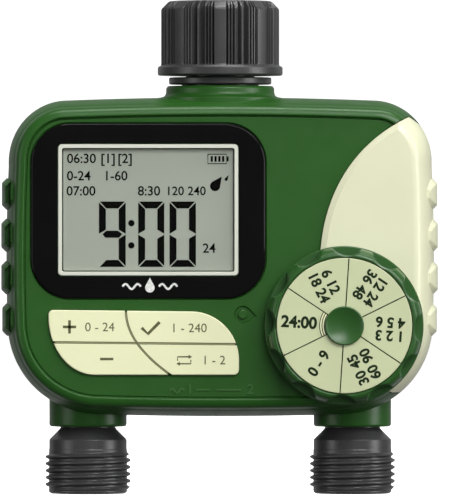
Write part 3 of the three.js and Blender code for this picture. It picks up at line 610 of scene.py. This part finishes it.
def grip_outline(side, z, half, reach, less=0.0):
    """One bevelled bump on the case's side, seen from the front, made smaller by less."""
    reach, half = reach - less - (0.4 if side > 0 else 0), half - less
    foot = reach - 1.5
    corners = [(64.2, z - half - 0.9), (foot, z - half - 0.75), (reach, z - half + 0.75),
               (reach, z + half - 0.75), (foot, z + half + 0.75), (64.2, z + half + 0.9)]
    points = [Vector((side * x, y)) for x, y in corners]
    return round_corners(points, 0.9, 0)


def grip(side, z, half, reach):
    """The whole bump: it swells out of the case's side and stops squarely at the back."""
    depths = [(-21, 2.6), (-20, 1.9), (-18.7, 1.2), (-17, 0.65), (-15, 0.25), (-12.5, 0.03), (-6, 0),
              (-5.3, 0.2), (-5, 0.6)]
    return loft_sections("grip", [(y, grip_outline(side, z, half, reach, less)) for y, less in depths])


def front_housing():
    outline = case_outline()
    shell = loft("front_case", outline, FRONT_PROFILE)
    cut(shell, loft("region", panel_outline(0.3), [(-40, 0), (-2.7, 0)]))
    cavity = loft("cavity", outline, [(1, WALL), (-18, WALL), (-21.4, 8)])
    join(shell, loft("under", outline, UNDER_PANEL), *half_bosses(-1), *[grip(-1, *g) for g in GRIPS])
    cut(shell, cavity)
    posts = [bar("post", "y", POST_R, -21.6, -PARTING, x, z) for x, z in SCREWS]
    join(shell, *[meet(post, loft("under", outline, UNDER_PANEL)) for post in posts])
    pockets = [loft("pocket", grip_outline(-1, *g, 1.3), [(-30, 0), (-16.5, 0)]) for g in GRIPS]
    for pocket in pockets:
        meet(pocket, block("slot", -69, -66.6, -31, -15, -120, 0, 0))
    display_well = loft("well", grown(BEZEL, 0.3, 24), [(-30, 0.3), (-24.05, -0.28), (-23.7, 0), (-22.6, 0)])
    window = loft("window", screen_opening(0), [(-30, 0), (-15, 0)])
    keypad_well = loft("well", keypad_outline(0.18), [(-30, 0), (-22.8, 0)])
    stems = [bar("hole", "y", 2.6, -30, -15, x, z) for (x, z), _, _ in KEYS.values()]
    pilots = [bar("hole", "y", 1.5, -12, 1, x, z) for x, z in SCREWS]
    cut(shell, *pipe_holes(), *pockets, display_well, window, keypad_well,
        bar("hole", "y", DIAL_HOLE_R, -30, -15, DIAL_X, DIAL_Z), *stems, *pilots)
    raise_marks(shell)
    finish_piece(smooth(shell), green, "green_case", "front_housing")


def raise_marks(shell):
    """The drop sunk beside the dial, with a raised eye, and the scale standing out below the keypad in a
    lighter green as a painted highlight.
    """
    recess = drop_outline(*POINTER, 2.8, 4.5, math.radians(-6))
    cut(shell, loft("recess", recess, [(-30, 0), (FACE_Y, 0), (FACE_Y + 0.7, 0.35)]))
    join(shell, loft("eye", circle(*POINTER, 1.5, 40), [(-22.5, 0), (FACE_Y + 0.1, 0), (FACE_Y - 0.2, 0.3)]))
    rules = [stroke(wave(-16, -113.3, 4.6, 0.7), 0.5), lines((-7.6, -113), (-3.2, -113)),
             lines((-1.2, -113), (6.6, -113))]
    legend = [decal("rules", rules, FACE_Y, 0.42)]
    for text, x in (("1", -9.6), ("2", 9.6)):
        legend.append(numerals(text, 4.4, x, -113, 0, FACE_Y - 0.2, 0.01, depth=0.22))
    finish_piece(gather("outlet_legend", legend), green_painted_highlight, "green_case")


def drop_outline(x, z, r, reach, turn, steps=48):
    """A teardrop whose point lies at the given reach from its round centre."""
    half = math.acos(r / reach)
    points = arc(x, z, r, math.degrees(turn + half), math.degrees(turn - half) + 360, steps)
    return points + [Vector((x + reach * math.cos(turn), z + reach * math.sin(turn)))]


def side_panel():
    outline = case_outline()
    skin = loft("cream_panel", outline, PANEL_PROFILE)
    inner = [(1, 2), (-14.5, 2.35), (-20, 4.4), (-23.2, 7.4), (-24, 11)]
    cut(skin, loft("inner", outline, inner))
    edge = [(-3, 0), (-24.75, 0), (-25.25, 0.08), (-25.95, 1.75), (-26.2, 2.6)]
    meet(skin, loft("region", panel_outline(), edge))
    join(skin, *[grip(1, *g) for g in GRIPS])
    cut(skin, bar("hole", "y", DIAL_HOLE_R, -30, -20, DIAL_X, DIAL_Z))
    finish_piece(smooth(skin), cream, "cream_plastic", "side_panel")


def rear_housing():
    outline = case_outline()
    shell = loft("rear_case", outline, REAR_PROFILE)
    join(shell, *half_bosses(1))
    cut(shell, loft("cavity", outline, [(-1, WALL), (19, WALL), (22.2, 8)]))
    tray = block("tray", -30, 30, 7, 25, -113, -50.6, 0)
    posts = [bar("post", "y", POST_R, PARTING, 9, x, z) for x, z in SCREWS]
    sleeves = [bar("sleeve", "y", 4.6, 6.5, 22.7, x, z) for x, z in SCREWS]
    join(shell, tray, *posts, *sleeves)
    bay = block("bay", -28.6, 28.6, 8.4, 40, -111.6, -52, 0)
    rim = rounded_box(-31.3, 31.3, -114.4, -50.1, 1, 6)
    recess = loft("recess", rim, [(24, 0), (25.7, 0), (26.05, -0.35), (30, -0.35)])
    wells = [screw_well(x, z) for x, z in SCREWS]
    holes = [bar("hole", "y", 1.8, -1, 10, x, z) for x, z in SCREWS]
    cut(shell, *pipe_holes(), bay, recess, bar("hinge", "x", 0.9, -32.8, 32.8, *HINGE), *holes, *wells)
    finish_piece(smooth(shell), green, "green_case", "rear_housing")


def screw_well(x, z):
    """A screw's well with a chamfered mouth."""
    return loft("well", circle(x, z, 3.2, 48), [(8, 0), (25.55, 0), (26.1, -0.5), (30, -0.5)])


def battery_door():
    outline = rounded_box(-31, 31, -113.3, -50.4, 1.2, 8)
    plate = loft("door", outline, [(24.3, 0), (25.9, 0), (26.17, 0.12), (26.3, 0.45)])
    cut(plate, block("hinge_gap", -40, 40, 20, 30, -120, -112.4, 0))
    barrel = bar("barrel", "x", 1, -31, 31, *HINGE, 40, 0.15)
    pins = bar("pins", "x", 0.6, -32.4, 32.4, *HINGE, 24, 0.1)
    tongue = block("tongue", -5, 5, 20.5, 25, -53.6, -52.8, 0.15)
    join(plate, barrel, pins, tongue)
    notch = bar("notch", "z", 9, -53.4, -49, 0, 34.3, 96)
    grooves = [block("groove", 0.25 * i - 9, 9 - 0.25 * i, 25.95, 27, -56.2 - 1.6 * i, -55.5 - 1.6 * i, 0.12)
               for i in range(5)]
    cut(plate, notch, *grooves)
    arrow = vectors((-3.2, -66.6), (3.2, -66.6), (0, -70.4))
    cut(plate, loft("arrow", round_corners(arrow, 0.5), [(25.95, 0), (27, -0.3)]))
    finish_piece(smooth(plate), green, "green_case", "battery_door", body="door")


# --- display ---
def screen_opening(gap):
    """The screen frame's opening, less a gap all round."""
    by = SCREEN_BAND + gap
    left, right, low, high, _ = SCREEN
    return rounded_box(left + by, right - by, low + by, high - by, 0.6, 8)


def display():
    plate = loft("bezel", grown(BEZEL, 0, 32), soften([
        (-22.9, 0, 0), (-24.45, 0, 0.2), (BEZEL_Y, 0.5, 0.2), (BEZEL_Y, 2, 0)]))
    cut(plate, loft("opening", grown(SCREEN, 0.3, 16), [(-30, 0), (-20, 0)]))
    finish_piece(smooth(plate), gloss_black, "gloss_black", "display_bezel")
    rim = loft("screen_frame", grown(SCREEN, 0, 16), soften([
        (-22.9, 0, 0), (-24.4, 0, 0.15), (-24.6, 0.25, 0.1), (-24.6, 0.8, 0)]))
    cut(rim, loft("inner", screen_opening(0), [(-30, -0.4), (-24.6, -0.12), (-24.4, 0), (-20, 0)]))
    finish_piece(smooth(rim), cream_frame, "cream_plastic", "lcd_frame")
    glass = loft("screen_window", screen_opening(0.3), [(-22.9, 0), (-23.8, 0), (-23.9, 0.1)])
    finish_piece(smooth(glass), lens_clear, "lens", "display_lens")
    sheet_rings = [(-18.4, 0.15), (-18.55, 0), (LCD_Y + 0.1, 0), (LCD_Y, 0.1)]
    panel = loft("lcd_glass", screen_opening(0.3), sheet_rings)
    finish_piece(smooth(panel), lcd_grey, "display", "lcd_panel")
    texts = [numerals(body, size, x, z, 0, LCD_Y, 0.012) for body, size, x, z in LCD_NUMERALS]
    ink = gather("lcd_ink", [decal("segments", lcd_marks(), LCD_Y)] + texts)
    finish_piece(ink, lcd_ink, "display")
    drop = drop_outline(-22.3, -80.6, 1.5, 3.2, math.pi / 2)
    waves = [stroke(wave(x, -80.2, 5.8, 0.8), 0.65) for x in (-31, -19.4)]
    finish_piece(decal("bezel_mark", waves + [drop], BEZEL_Y), white_ink, "gloss_black")


def wave(x, z, length, height, steps=24):
    """One and a half waves along a level line."""
    return [Vector((x + length * i / steps, z + height * math.sin(3 * math.pi * i / steps)))
            for i in range(steps + 1)]


# --- flat marks ---
def moved_aside(points, distance):
    """An open line moved sideways, to the left of its own direction."""
    moved = []
    for i, point in enumerate(points):
        run = (points[min(len(points) - 1, i + 1)] - points[max(0, i - 1)]).normalized()
        moved.append(point + Vector((-run.y, run.x)) * distance)
    return moved


def stroke(points, width):
    """An outline that follows an open line at a constant width."""
    return moved_aside(points, width / 2) + moved_aside(points, -width / 2)[::-1]


def decal(name, outlines, y, thick=0.05):
    """Thin closed shapes lying on a plane that faces the front."""
    points, faces = [], []
    for outline in outlines:
        base, count = len(points), len(outline)
        points += [(p.x, y + 0.02, p.y) for p in outline] + [(p.x, y - thick, p.y) for p in outline]
        faces += [(base + i, base + (i + 1) % count, base + count + (i + 1) % count, base + count + i)
                  for i in range(count)]
        faces += [tuple(range(base, base + count)), tuple(range(base + count, base + 2 * count))]
    return make(name, points, faces, weld=False)


def lines(*points, width=0.5):
    return stroke(vectors(*points), width)


def bar_mark(left, right, low, high):
    return vectors((left, low), (right, low), (right, high), (left, high))


SEGMENTS = {"0": "abcdef", "9": "abcdfg"}
DIGIT_LOW, DIGIT_HIGH = -73.99, -53.22


def seven_segments(digit, left, right, width, gap=0.14):
    """A seven-segment digit: broad outer strokes with slanting ends, and a pointed bar in the middle."""
    x, z = (left + right) / 2, (DIGIT_LOW + DIGIT_HIGH) / 2
    wide, tall, half = (right - left) / 2, (DIGIT_HIGH - DIGIT_LOW) / 2, width / 2
    nook = wide - width - gap
    level = ((2 * gap - wide, tall), (wide - 2 * gap, tall), (nook, tall - width), (-nook, tall - width))
    upright = ((wide, tall - 2 * gap), (wide, gap), (wide - width, half * 1.3),
               (wide - width, tall - width - 2 * gap))
    middle = ((half - wide, 0), (-nook, half), (nook, half), (wide - half, 0), (nook + 2 * gap, -half),
              (-nook - 2 * gap, -half))
    shapes = {"a": (1, 1, level), "b": (1, 1, upright), "c": (1, -1, upright), "d": (1, -1, level),
              "e": (-1, -1, upright), "f": (-1, 1, upright), "g": (1, 1, middle)}
    drawn = [shapes[name] for name in SEGMENTS[digit]]
    return [vectors(*[(x + side * a, z + turn * b) for a, b in shape]) for side, turn, shape in drawn]


LCD_NUMERALS = (
    ("06:30", 4.2, -44.05, -39.7), ("[1]", 4.2, -35.6, -39.7), ("[2]", 4.2, -30.2, -39.7),
    ("0-24", 4.2, -44.9, -45.2), ("1-60", 4.2, -33.2, -45.2), ("07:00", 4.2, -44.2, -50),
    ("8:30", 4.2, -22.6, -50), ("120 240", 3.9, -10.9, -50), ("24", 4.2, -3.5, -68.2),
)


def lcd_marks():
    """The hour, its colon, the battery with its four bars and the two water drops."""
    shapes = []
    for digit, left, right in (("9", -38.5, -30), ("0", -26.02, -17.75), ("0", -16.07, -7.7)):
        shapes += seven_segments(digit, left, right, 2.2)
    shapes += [circle(-28.21, z, 1.02, 32) for z in (-60.1, -67.15)]
    shapes += [stroke(frame_line(-3.9, 2, -41.2, -38.2), 0.3), bar_mark(2.1, 2.7, -40.5, -38.9)]
    shapes += [bar_mark(-3 + 1.2 * i, -2.3 + 1.2 * i, -40.6, -38.8) for i in range(4)]
    shapes += [drop_outline(-1.6, -48.3, 1.6, 3.7, math.radians(55)),
               drop_outline(1.9, -46.2, 0.5, 1.7, math.radians(60))]
    return shapes


def frame_line(left, right, low, high):
    """A line round a box, a hair short of closing."""
    return vectors((left, high), (right, high), (right, low), (left, low), (left, high - 0.01))


def return_arrows(x, z, half, tall):
    """Two level arrows that turn back on each other."""
    shapes = []
    for turn in (1, -1):
        def at(across, up):
            return Vector((x + turn * across, z + turn * up))

        bend = [at(-half, -0.1), at(-half, tall), at(half - 0.5, tall)]
        tip = [at(half - 0.7, tall + 0.65), at(half + 0.4, tall), at(half - 0.7, tall - 0.65)]
        shapes += [stroke(bend, 0.42), tip]
    return shapes


# --- keypad ---
KEYS = {  # the stem's (x, z), the key's (column, row) and its numerals as (text, size, x, z)
    "plus": ((-44, -93.2), (-1, 1), [("0 - 24", 4, -38.2, -93.2)]),
    "ok": ((-11, -93.8), (1, 1), [("1 - 240", 4, -9.9, -93.5)]),
    "minus": ((-32.5, -103.2), (-1, -1), []),
    "zone": ((-8, -103.4), (1, -1), [("1 - 2", 4, -2, -103.7)]),
}


def key_marks():
    return {
        "plus": [lines((-49.9, -93), (-45.7, -93), width=0.85),
                 lines((-47.8, -90.9), (-47.8, -95.1), width=0.85)],
        "ok": [lines((-24.9, -93.3), (-22.9, -95.2), (-19.2, -91.5), width=1)],
        "minus": [lines((-38.1, -103.2), (-33.9, -103.2), width=0.8)],
        "zone": return_arrows(-11.4, -103.6, 2.1, 1.1),
    }


def keypad():
    marks = key_marks()
    profile = soften([(-23.9, 0.05, 0), (-25.1, 0, 0.1), (KEY_Y, 0.25, 0.05), (KEY_Y, 1, 0)], 3)
    for key, ((x, z), quarter, texts) in KEYS.items():
        name, body = "key_" + key, key + "_key"
        cap = loft(name + "_cap", keypad_outline(), profile)
        meet(cap, key_region(*quarter))
        join(cap, bar("stem", "y", 2.2, -24.2, -21.5, x, z, 32, 0.15))
        finish_piece(smooth(cap), cream_key, "cream_plastic", name, body=body)
        print_parts = [decal("signs", marks[key], KEY_Y)]
        print_parts += [numerals(text, size, at, level, 0, KEY_Y, 0) for text, size, at, level in texts]
        finish_piece(gather(name + "_mark", print_parts), key_ink, "cream_plastic", body=body)


# --- dial ---
SCALLOPS, SCALLOP_R, SCALLOP_DEPTH, SCALLOP_START = 12, 6.2, 2.5, 28
PLATE_R = 21.4
HUB_DISH_R = 5.7
DIAL_LINES = [26.2 + 60 * k for k in range(6)]


def smooth_min(a, b, blend):
    h = max(blend - abs(a - b), 0) / blend
    return min(a, b) - h * h * blend / 4


def ease(t):
    t = min(1, max(0, t))
    return t * t * (3 - 2 * t)


def scalloped(r, y, angle):
    """The grip's radius: stepped hollows all round, above the skirt."""
    if r < PLATE_R + 0.5 or y > -29.3:
        return r
    pitch = 2 * math.pi / SCALLOPS
    off = (angle - math.radians(SCALLOP_START) + pitch / 2) % pitch - pitch / 2
    reach = 24.8 + SCALLOP_R - SCALLOP_DEPTH
    inside = SCALLOP_R ** 2 - (reach * math.sin(off)) ** 2
    if inside <= 0:
        return r
    hollow = reach * math.cos(off) - math.sqrt(inside) - 0.6 * ease((-35.4 - y) / 0.25)
    return smooth_min(r, hollow, 0.35)


def denser(profile, step):
    """The profile with extra points, so that none are further apart than a step along the second axis."""
    points = []
    for (a0, b0), (a1, b1) in zip(profile, profile[1:]):
        pieces = max(1, math.ceil(abs(b1 - b0) / step))
        points += [(a0 + (a1 - a0) * i / pieces, b0 + (b1 - b0) * i / pieces) for i in range(pieces)]
    return points + [profile[-1]]


def dial():
    profile = denser(soften([
        (3.3, -34, 0), (20.5, -34, 0.3), (20.5, -26.6, 0.2), (25.2, -26.6, 0.25), (25.2, -28.9, 0.25),
        (24.85, -29.25, 0.12), (24.8, -31.8, 1.8), (24.2, -35.6, 1.6), (22.9, -37.15, 0.8),
        (22.1, -37.2, 0.2), (PLATE_R + 0.25, -36.9, 0.1), (PLATE_R + 0.3, -36, 0.1), (3.3, -36, 0)]), 0.25)
    knob = around_y("knob", profile, 720, True, scalloped)
    finish_piece(smooth(knob, 40), green_knob, "green_case", "dial_knob", body="dial")
    face = around_y("dial_face", soften([
        (0.01, -35.7, 0), (PLATE_R, -35.7, 0.1), (PLATE_R, DIAL_Y + 0.2, 0.1), (PLATE_R - 0.15, DIAL_Y, 0.1),
        (PLATE_R - 0.4, DIAL_Y, 0.05), (0.01, DIAL_Y, 0)]), 240, False)
    cut(face, *[radial_strip(angle, 0.4, DIAL_Y + 0.18, DIAL_Y - 0.2) for angle in DIAL_LINES])
    finish_piece(smooth(face), cream_dial, "cream_plastic", "dial_plate", body="dial")
    dish = [HUB_DISH_R * (1 - i / 19) for i in range(1, 19)]
    hub = around_y("dial_hub", soften([
        (0.01, -37.32, 0), (6.1, -37.32, 0.05), (6.2, -38.2, 0.1), (6.05, -38.6, 0.15), (5.8, -38.7, 0.1)])
        + [(r, -37.36 - 1.25 * (r / HUB_DISH_R) ** 2) for r in dish], 160, False)
    finish_piece(smooth(hub, 50), green_knob, "green_case", "dial_cap", body="dial")
    shaft = bar("dial_stem", "y", 3, -35.9, -17.8, DIAL_X, DIAL_Z, 48, 0.3)
    finish_piece(smooth(shaft), black, "black_plastic", "dial_shaft", body="dial")
    dial_print()


def radial_strip(angle, width, back_y, front_y):
    """A thin radial bar in front of the dial's face or sunk into it."""
    start, end, half = 6, PLATE_R - 0.1, width / 2
    corners = ((start, -half), (end, -half), (end, half), (start, half))
    outline = [Vector(on_dial(r, aside, angle)) for r, aside in corners]
    return loft("strip", outline, [(back_y, 0), (front_y, 0)])


def numerals(body, size, x, z, turn, y, bold, depth=0.035):
    """Numerals as a thin mesh on a plane that faces the front, in millimetres."""
    curve = bpy.data.curves.new("numerals", "FONT")
    curve.body = body
    curve.size = size
    curve.align_x = "CENTER"
    curve.align_y = "CENTER"
    curve.offset = bold * size
    curve.extrude = depth
    curve.resolution_u = 6
    text = new_object("numerals", curve)
    bpy.context.view_layer.update()
    mesh = bpy.data.meshes.new_from_object(text.evaluated_get(bpy.context.evaluated_depsgraph_get()))
    bpy.data.objects.remove(text)
    mesh.transform(Matrix.Scale(MM, 4) @ Matrix.Translation((x, y, z)) @ Matrix.Rotation(-turn, 4, "Y")
                   @ Matrix.Rotation(math.pi / 2, 4, "X"))
    return new_object("numerals", mesh)


def gather(name, objects):
    """One object from several, without joining their surfaces."""
    bm = bmesh.new()
    for obj in objects:
        bm.from_mesh(obj.data)
        bpy.data.objects.remove(obj)
    mesh = bpy.data.meshes.new(name)
    bm.to_mesh(mesh)
    bm.free()
    return new_object(name, mesh)


def on_dial(radius, aside, angle):
    """A place on the dial: so far out along a direction, and so far to its left."""
    turn = math.radians(angle)
    return (DIAL_X + radius * math.cos(turn) - aside * math.sin(turn),
            DIAL_Z + radius * math.sin(turn) + aside * math.cos(turn))


DIAL_TEXT = (  # the rows and the size of the numerals in each sector, after its line
    (("12 24", "36 48"), 4.5), (("6 12", "18 24"), 4.5), (("24:00",), 5.1), (("0 - 9",), 4.6),
    (("30 45", "60 90"), 4.5), (("1 2 3", "4 5 6"), 4.5),
)


def dial_print():
    """The dark numerals, lines and arcs on the dial's face, and light bands between the arcs as painted
    highlights.
    """
    parts = [radial_strip(angle, 0.32, DIAL_Y + 0.2, DIAL_Y + 0.06) for angle in DIAL_LINES]
    for line, (rows, size) in zip(DIAL_LINES, DIAL_TEXT):
        angle = line + 30
        for i, row in enumerate(rows):
            x, z = on_dial(14.4, (i - (len(rows) - 1) / 2) * 4.2, angle)
            parts.append(numerals(row, size, x, z, math.radians(angle + 180), DIAL_Y - 0.01, 0.035))
    parts.append(decal("arcs", dial_arcs((6.4, 7.12, 7.85), 0.26), DIAL_Y))
    finish_piece(gather("dial_print", parts), dial_ink, "cream_plastic", body="dial")
    # light cream strokes between the dark arcs: painted highlights along the engraved arcs
    bands = decal("dial_painted_highlights", dial_arcs((6.76, 7.48), 0.4), DIAL_Y, 0.03)
    finish_piece(bands, cream_key, "cream_plastic", body="dial")


def dial_arcs(radii, width):
    """Short strokes round the hub, beside the widest numerals."""
    return [stroke(arc(DIAL_X, DIAL_Z, r, 147.5, 205, 32), width) for r in radii]


# --- inlet ---
THREAD_PITCH = 2.209
NUT_RIBS = (  # the radius at an angle, in degrees from the middle of a lobe
    (0, 18.9), (5.4, 18.9), (6.2, 18.4), (6.9, 17), (7.3, 17), (8, 18.5), (9, 18.5), (9.6, 17),
    (10.6, 17), (11.2, 18.5), (12.2, 18.5), (12.8, 17), (13.8, 17), (14.4, 18.5), (15.4, 18.5),
    (16.2, 17.6), (17.2, 16.3), (20.2, 16.3), (20.9, 17.6), (21.5, 18.5), (22.5, 18.6),
)


def thread_height(z, angle, start, end, pitch=THREAD_PITCH, crest=0.18, flank=0.24):
    """How far up a thread's ridge a point is, from 0 at the root to 1 on the crest."""
    off = abs((z / pitch - angle / (2 * math.pi)) % 1 - 0.5)
    fade = min(1, max(0, (z - start) / 1.2)) * min(1, max(0, (end - z) / 1.2))
    return ease(1 - (off - crest) / flank) * fade


def rib_radius(angle):
    """The nut's outline: broad smooth lobes with fine ribs between them."""
    off = abs((math.degrees(angle) + 90 + 22.5) % 45 - 22.5)
    for (a, low), (b, high) in zip(NUT_RIBS, NUT_RIBS[1:]):
        if off <= b:
            return low + (high - low) * ease((off - a) / (b - a))
    return NUT_RIBS[-1][1]


def nut_radius(r, z, angle):
    """The nut with its inner thread and its outer ribs."""
    if 12.5 < r < 13.7 and -1 < z < 9.9:
        return 13.6 - 0.95 * thread_height(z, angle, 1.7, 8.8)
    if z > -9.5 and r > 15.9:
        return min(r, rib_radius(angle) - max(0, 18.9 - r) * 0.25)
    return r


def inlet():
    outer = soften([
        (11.4, -6.3, 0), (11.4, -12.84, 0.3), (19.7, -12.84, 0.25), (20, -12.45, 0.15), (20, -10.3, 0.2),
        (19.6, -9.83, 0.2), (19.05, -9.75, 0.1), (19, -9.2, 0.1), (19, 8.3, 0.8), (16.6, 10.75, 0.4),
        (16, 11, 0.3), (15.2, 11, 0.2), (13.7, 10.1, 0.3)])
    bore = [(13.6, 9.8 - 0.16 * i) for i in range(62)] + [(13.6, -6.3)]
    nut = around_z("swivel_nut", denser(outer, 1.5) + bore, steps=960, radius=nut_radius)
    finish_piece(smooth(nut, 40), black, "black_plastic", "inlet_nut", body="nut")
    stem = around_z("inlet_pipe", soften([
        (8, -26.4, 0), (14.5, -26.4, 0.2), (14.5, -24.25, 0.2), (12.3, -24.25, 0.2), (12.3, -15.66, 0.2),
        (16.1, -15.66, 0.25), (16.4, -15.4, 0.15), (16.4, -13.75, 0.15), (16.1, -13.45, 0.15),
        (11, -13.45, 0.3), (11, -6, 0.3), (12.2, -6, 0.3), (12.2, -3.3, 0.3), (8.2, -3.3, 0.2),
        (8, -3.6, 0.1), (8, -26.4, 0)]), steps=144)
    finish_piece(smooth(stem), black, "black_plastic", "inlet_stem")
    washer = around_z("inlet_seal", soften([
        (13, -2.75, 0), (12.75, -3, 0.1), (8.75, -3, 0.1), (8.5, -2.75, 0.1), (8.5, -0.3, 0.1), (8.8, 0, 0.1),
        (10.2, 0, 0.1), (10.4, -0.15, 0.1), (11.1, -0.15, 0.1), (11.3, 0, 0.1), (12.7, 0, 0.1),
        (13, -0.3, 0.1), (13, -2.75, 0)]), steps=96)
    finish_piece(smooth(washer), rubber, "rubber", "inlet_washer")


def outlet_radius(r, z, angle):
    if 12.45 < r < 12.55 and -146.2 < z < -132.6:
        return r + 1.1 * thread_height(z, angle, -145.4, -133.2, crest=0.1, flank=0.3)
    return r


def outlets():
    low = soften([(6.3, -145.9, 0), (6.7, -146.5, 0.2), (11.8, -146.5, 0.3), (12.5, -145.9, 0)])
    threaded = [(12.5, -145.9 + 0.16 * i) for i in range(1, 84)]
    high = soften([
        (12.5, -132.5, 0), (12.4, -132.2, 0.1), (12.4, -129.2, 0.2), (9.1, -125.9, 0.2), (8.8, -125.4, 0.1),
        (8.8, -112.4, 0.1), (10.5, -112.4, 0.1), (10.5, -111, 0.1), (6.3, -111, 0.1), (6.3, -145.9, 0)])
    for side, x in (("left", -OUTLET_X), ("right", OUTLET_X)):
        pipe = around_z("outlet_pipe_" + side, low + threaded + high, x, 0, 256, True, outlet_radius)
        finish_piece(smooth(pipe, 40), black, "black_plastic", "outlet_" + side)


# --- fasteners and inner works ---
def screws():
    profile = soften([(8.3, 0, 0), (9.6, 0, 0.4), (10.4, 0.6, 0.6), (10.7, 1.6, 0.4), (10.7, 2.2, 0)])
    for i, (x, z) in enumerate(SCREWS, 1):
        head = loft(f"screw_{i}", circle(x, z, 2.9, 64), profile)
        join(head, screw_shank(x, z))
        cut(head, *[block("slot", x - wide, x + wide, 9.5, 12, z - tall, z + tall, 0.1)
                    for wide, tall in ((1.8, 0.4), (0.4, 1.8))])
        finish_piece(smooth(head, 40), steel, "steel", f"case_screw_{i}")


def screw_shank(x, z):
    """A threaded shank with a point."""
    def radius(_, y, angle):
        taper = min(1, (y + 11) / 2.5) if y < -8.5 else 1
        return (0.85 + 0.3 * thread_height(y, angle, -12, 7, 1.3, 0.1, 0.2)) * max(0.15, taper)

    profile = [(1, 8.6 - 19.6 * k / 90) for k in range(91)]
    return around_y("shank", profile, 24, False, radius, x, z)


INNER_FINISH = (  # materials for the CAD nodes that still show, by how their names start
    (rubber, ("housing_seal", "diaphragm", "outlet_gasket")),
    (steel, ("filter_screen", "plunger", "battery_contact")),
    (black, ("rotary_switch", "manifold", "valve_body", "solenoid_lead", "switch_")),
    (winding, ("solenoid_left", "solenoid_right")),
    (board, ("circuit_board",)),
    (cell, ("battery_1", "battery_2", "battery_3", "battery_4")),
)


def finish_inner_nodes():
    for name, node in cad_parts.items():
        for material, starts in INNER_FINISH:
            if name.startswith(starts):
                node.data.materials.clear()
                node.data.materials.append(material)


# --- stage, in metres ---
FLOOR_Z = -0.148
FLOOR_REACH = 30
BACKDROP_R = 6
BACKDROP_TOP = 30
HAZE_Y = 21
CAMERA_DISTANCE = 3
VIEW_HEIGHT = 0.15904
MIDDLE = (0, 0, -0.07)


def paper(name, strength):
    """A pale surface that partly glows, so that the ground stays white."""
    color = (0.9, 0.9, 0.9)
    material, tree, bsdf = shader(name, color, 0.9, specular=0.0)
    tint(tree, noise(tree, 3, 2), scaled(color, 0.995), color, bsdf)
    fill(bsdf, Emission_Color=(1, 1, 1, 1), Emission_Strength=strength)
    return material


def sheet(name, corners, material):
    mesh = bpy.data.meshes.new(name)
    mesh.from_pydata(vectors(*corners), [], [(0, 1, 2, 3)])
    mesh.materials.append(material)
    obj = new_object(name, mesh)
    return obj


def area_light(name, place, size, power, mirrored=True):
    """A lamp turned to the object; if it isn't mirrored, no highlight shows it."""
    data = bpy.data.lights.new(name, "AREA")
    data.shape = "RECTANGLE"
    data.size, data.size_y = size
    data.energy = power
    obj = new_object(name, data)
    obj.location = place
    obj.rotation_euler = (Vector(MIDDLE) - Vector(place)).to_track_quat("-Z", "Y").to_euler()
    obj.visible_glossy = mirrored


def stage():
    scene = bpy.context.scene
    scene.view_settings.view_transform = "Standard"
    scene.view_settings.look = "None"
    world = bpy.data.worlds.new("studio")
    world.use_nodes = True
    fill(world.node_tree.nodes["Background"], Color=(1, 1, 1, 1), Strength=0.12)
    scene.world = world
    far = FLOOR_REACH
    ground = [(-far, -far, FLOOR_Z), (far, -far, FLOOR_Z), (far, far, FLOOR_Z), (-far, far, FLOOR_Z)]
    seen = [sheet("floor", ground, paper("white_paper", 0.9))]
    glow = paper("backdrop", 1.0)
    ring = arc(0, 0, BACKDROP_R, 0, 360, 24)
    for p, q in zip(ring, ring[1:]):
        wall = [(*p, -0.2), (*q, -0.2), (*q, BACKDROP_TOP), (*p, BACKDROP_TOP)]
        seen.append(sheet("backdrop", wall, glow))
    for obj in seen:
        obj.visible_glossy = False
        obj.visible_diffuse = False
    tall = [(-far, HAZE_Y, -far), (far, HAZE_Y, -far), (far, HAZE_Y, far), (-far, HAZE_Y, far)]
    haze = sheet("haze", tall, paper("haze", 0.3))
    haze.visible_camera = False
    haze.visible_diffuse = False
    area_light("key", (0.7, -1.5, 1.0), (1.4, 0.5), 28)
    area_light("front", (0.5, -2.0, 0.2), (0.8, 0.8), 12, mirrored=False)
    area_light("left", (-1.4, -0.7, 0.0), (0.6, 1.0), 4)
    area_light("right", (1.4, -0.5, 0.1), (0.6, 1.0), 10)
    area_light("overhead", (0.1, -0.2, 1.2), (1.0, 0.3), 11)
    area_light("rear", (-0.8, 1.7, 0.6), (1.0, 0.8), 18, mirrored=False)


def camera():
    data = bpy.data.cameras.new("camera")
    data.sensor_width = 36
    data.sensor_fit = "AUTO"
    data.lens = data.sensor_width * CAMERA_DISTANCE / VIEW_HEIGHT
    data.clip_end = 100
    obj = new_object("camera", data)
    obj.location = (0.00138, -CAMERA_DISTANCE, -0.06814)
    obj.rotation_euler = (math.pi / 2, 0, 0)
    bpy.context.scene.camera = obj


front_housing()
side_panel()
rear_housing()
battery_door()
display()
keypad()
key_groove_shade_strips()
dial()
inlet()
outlets()
screws()
finish_inner_nodes()
stage()
camera()
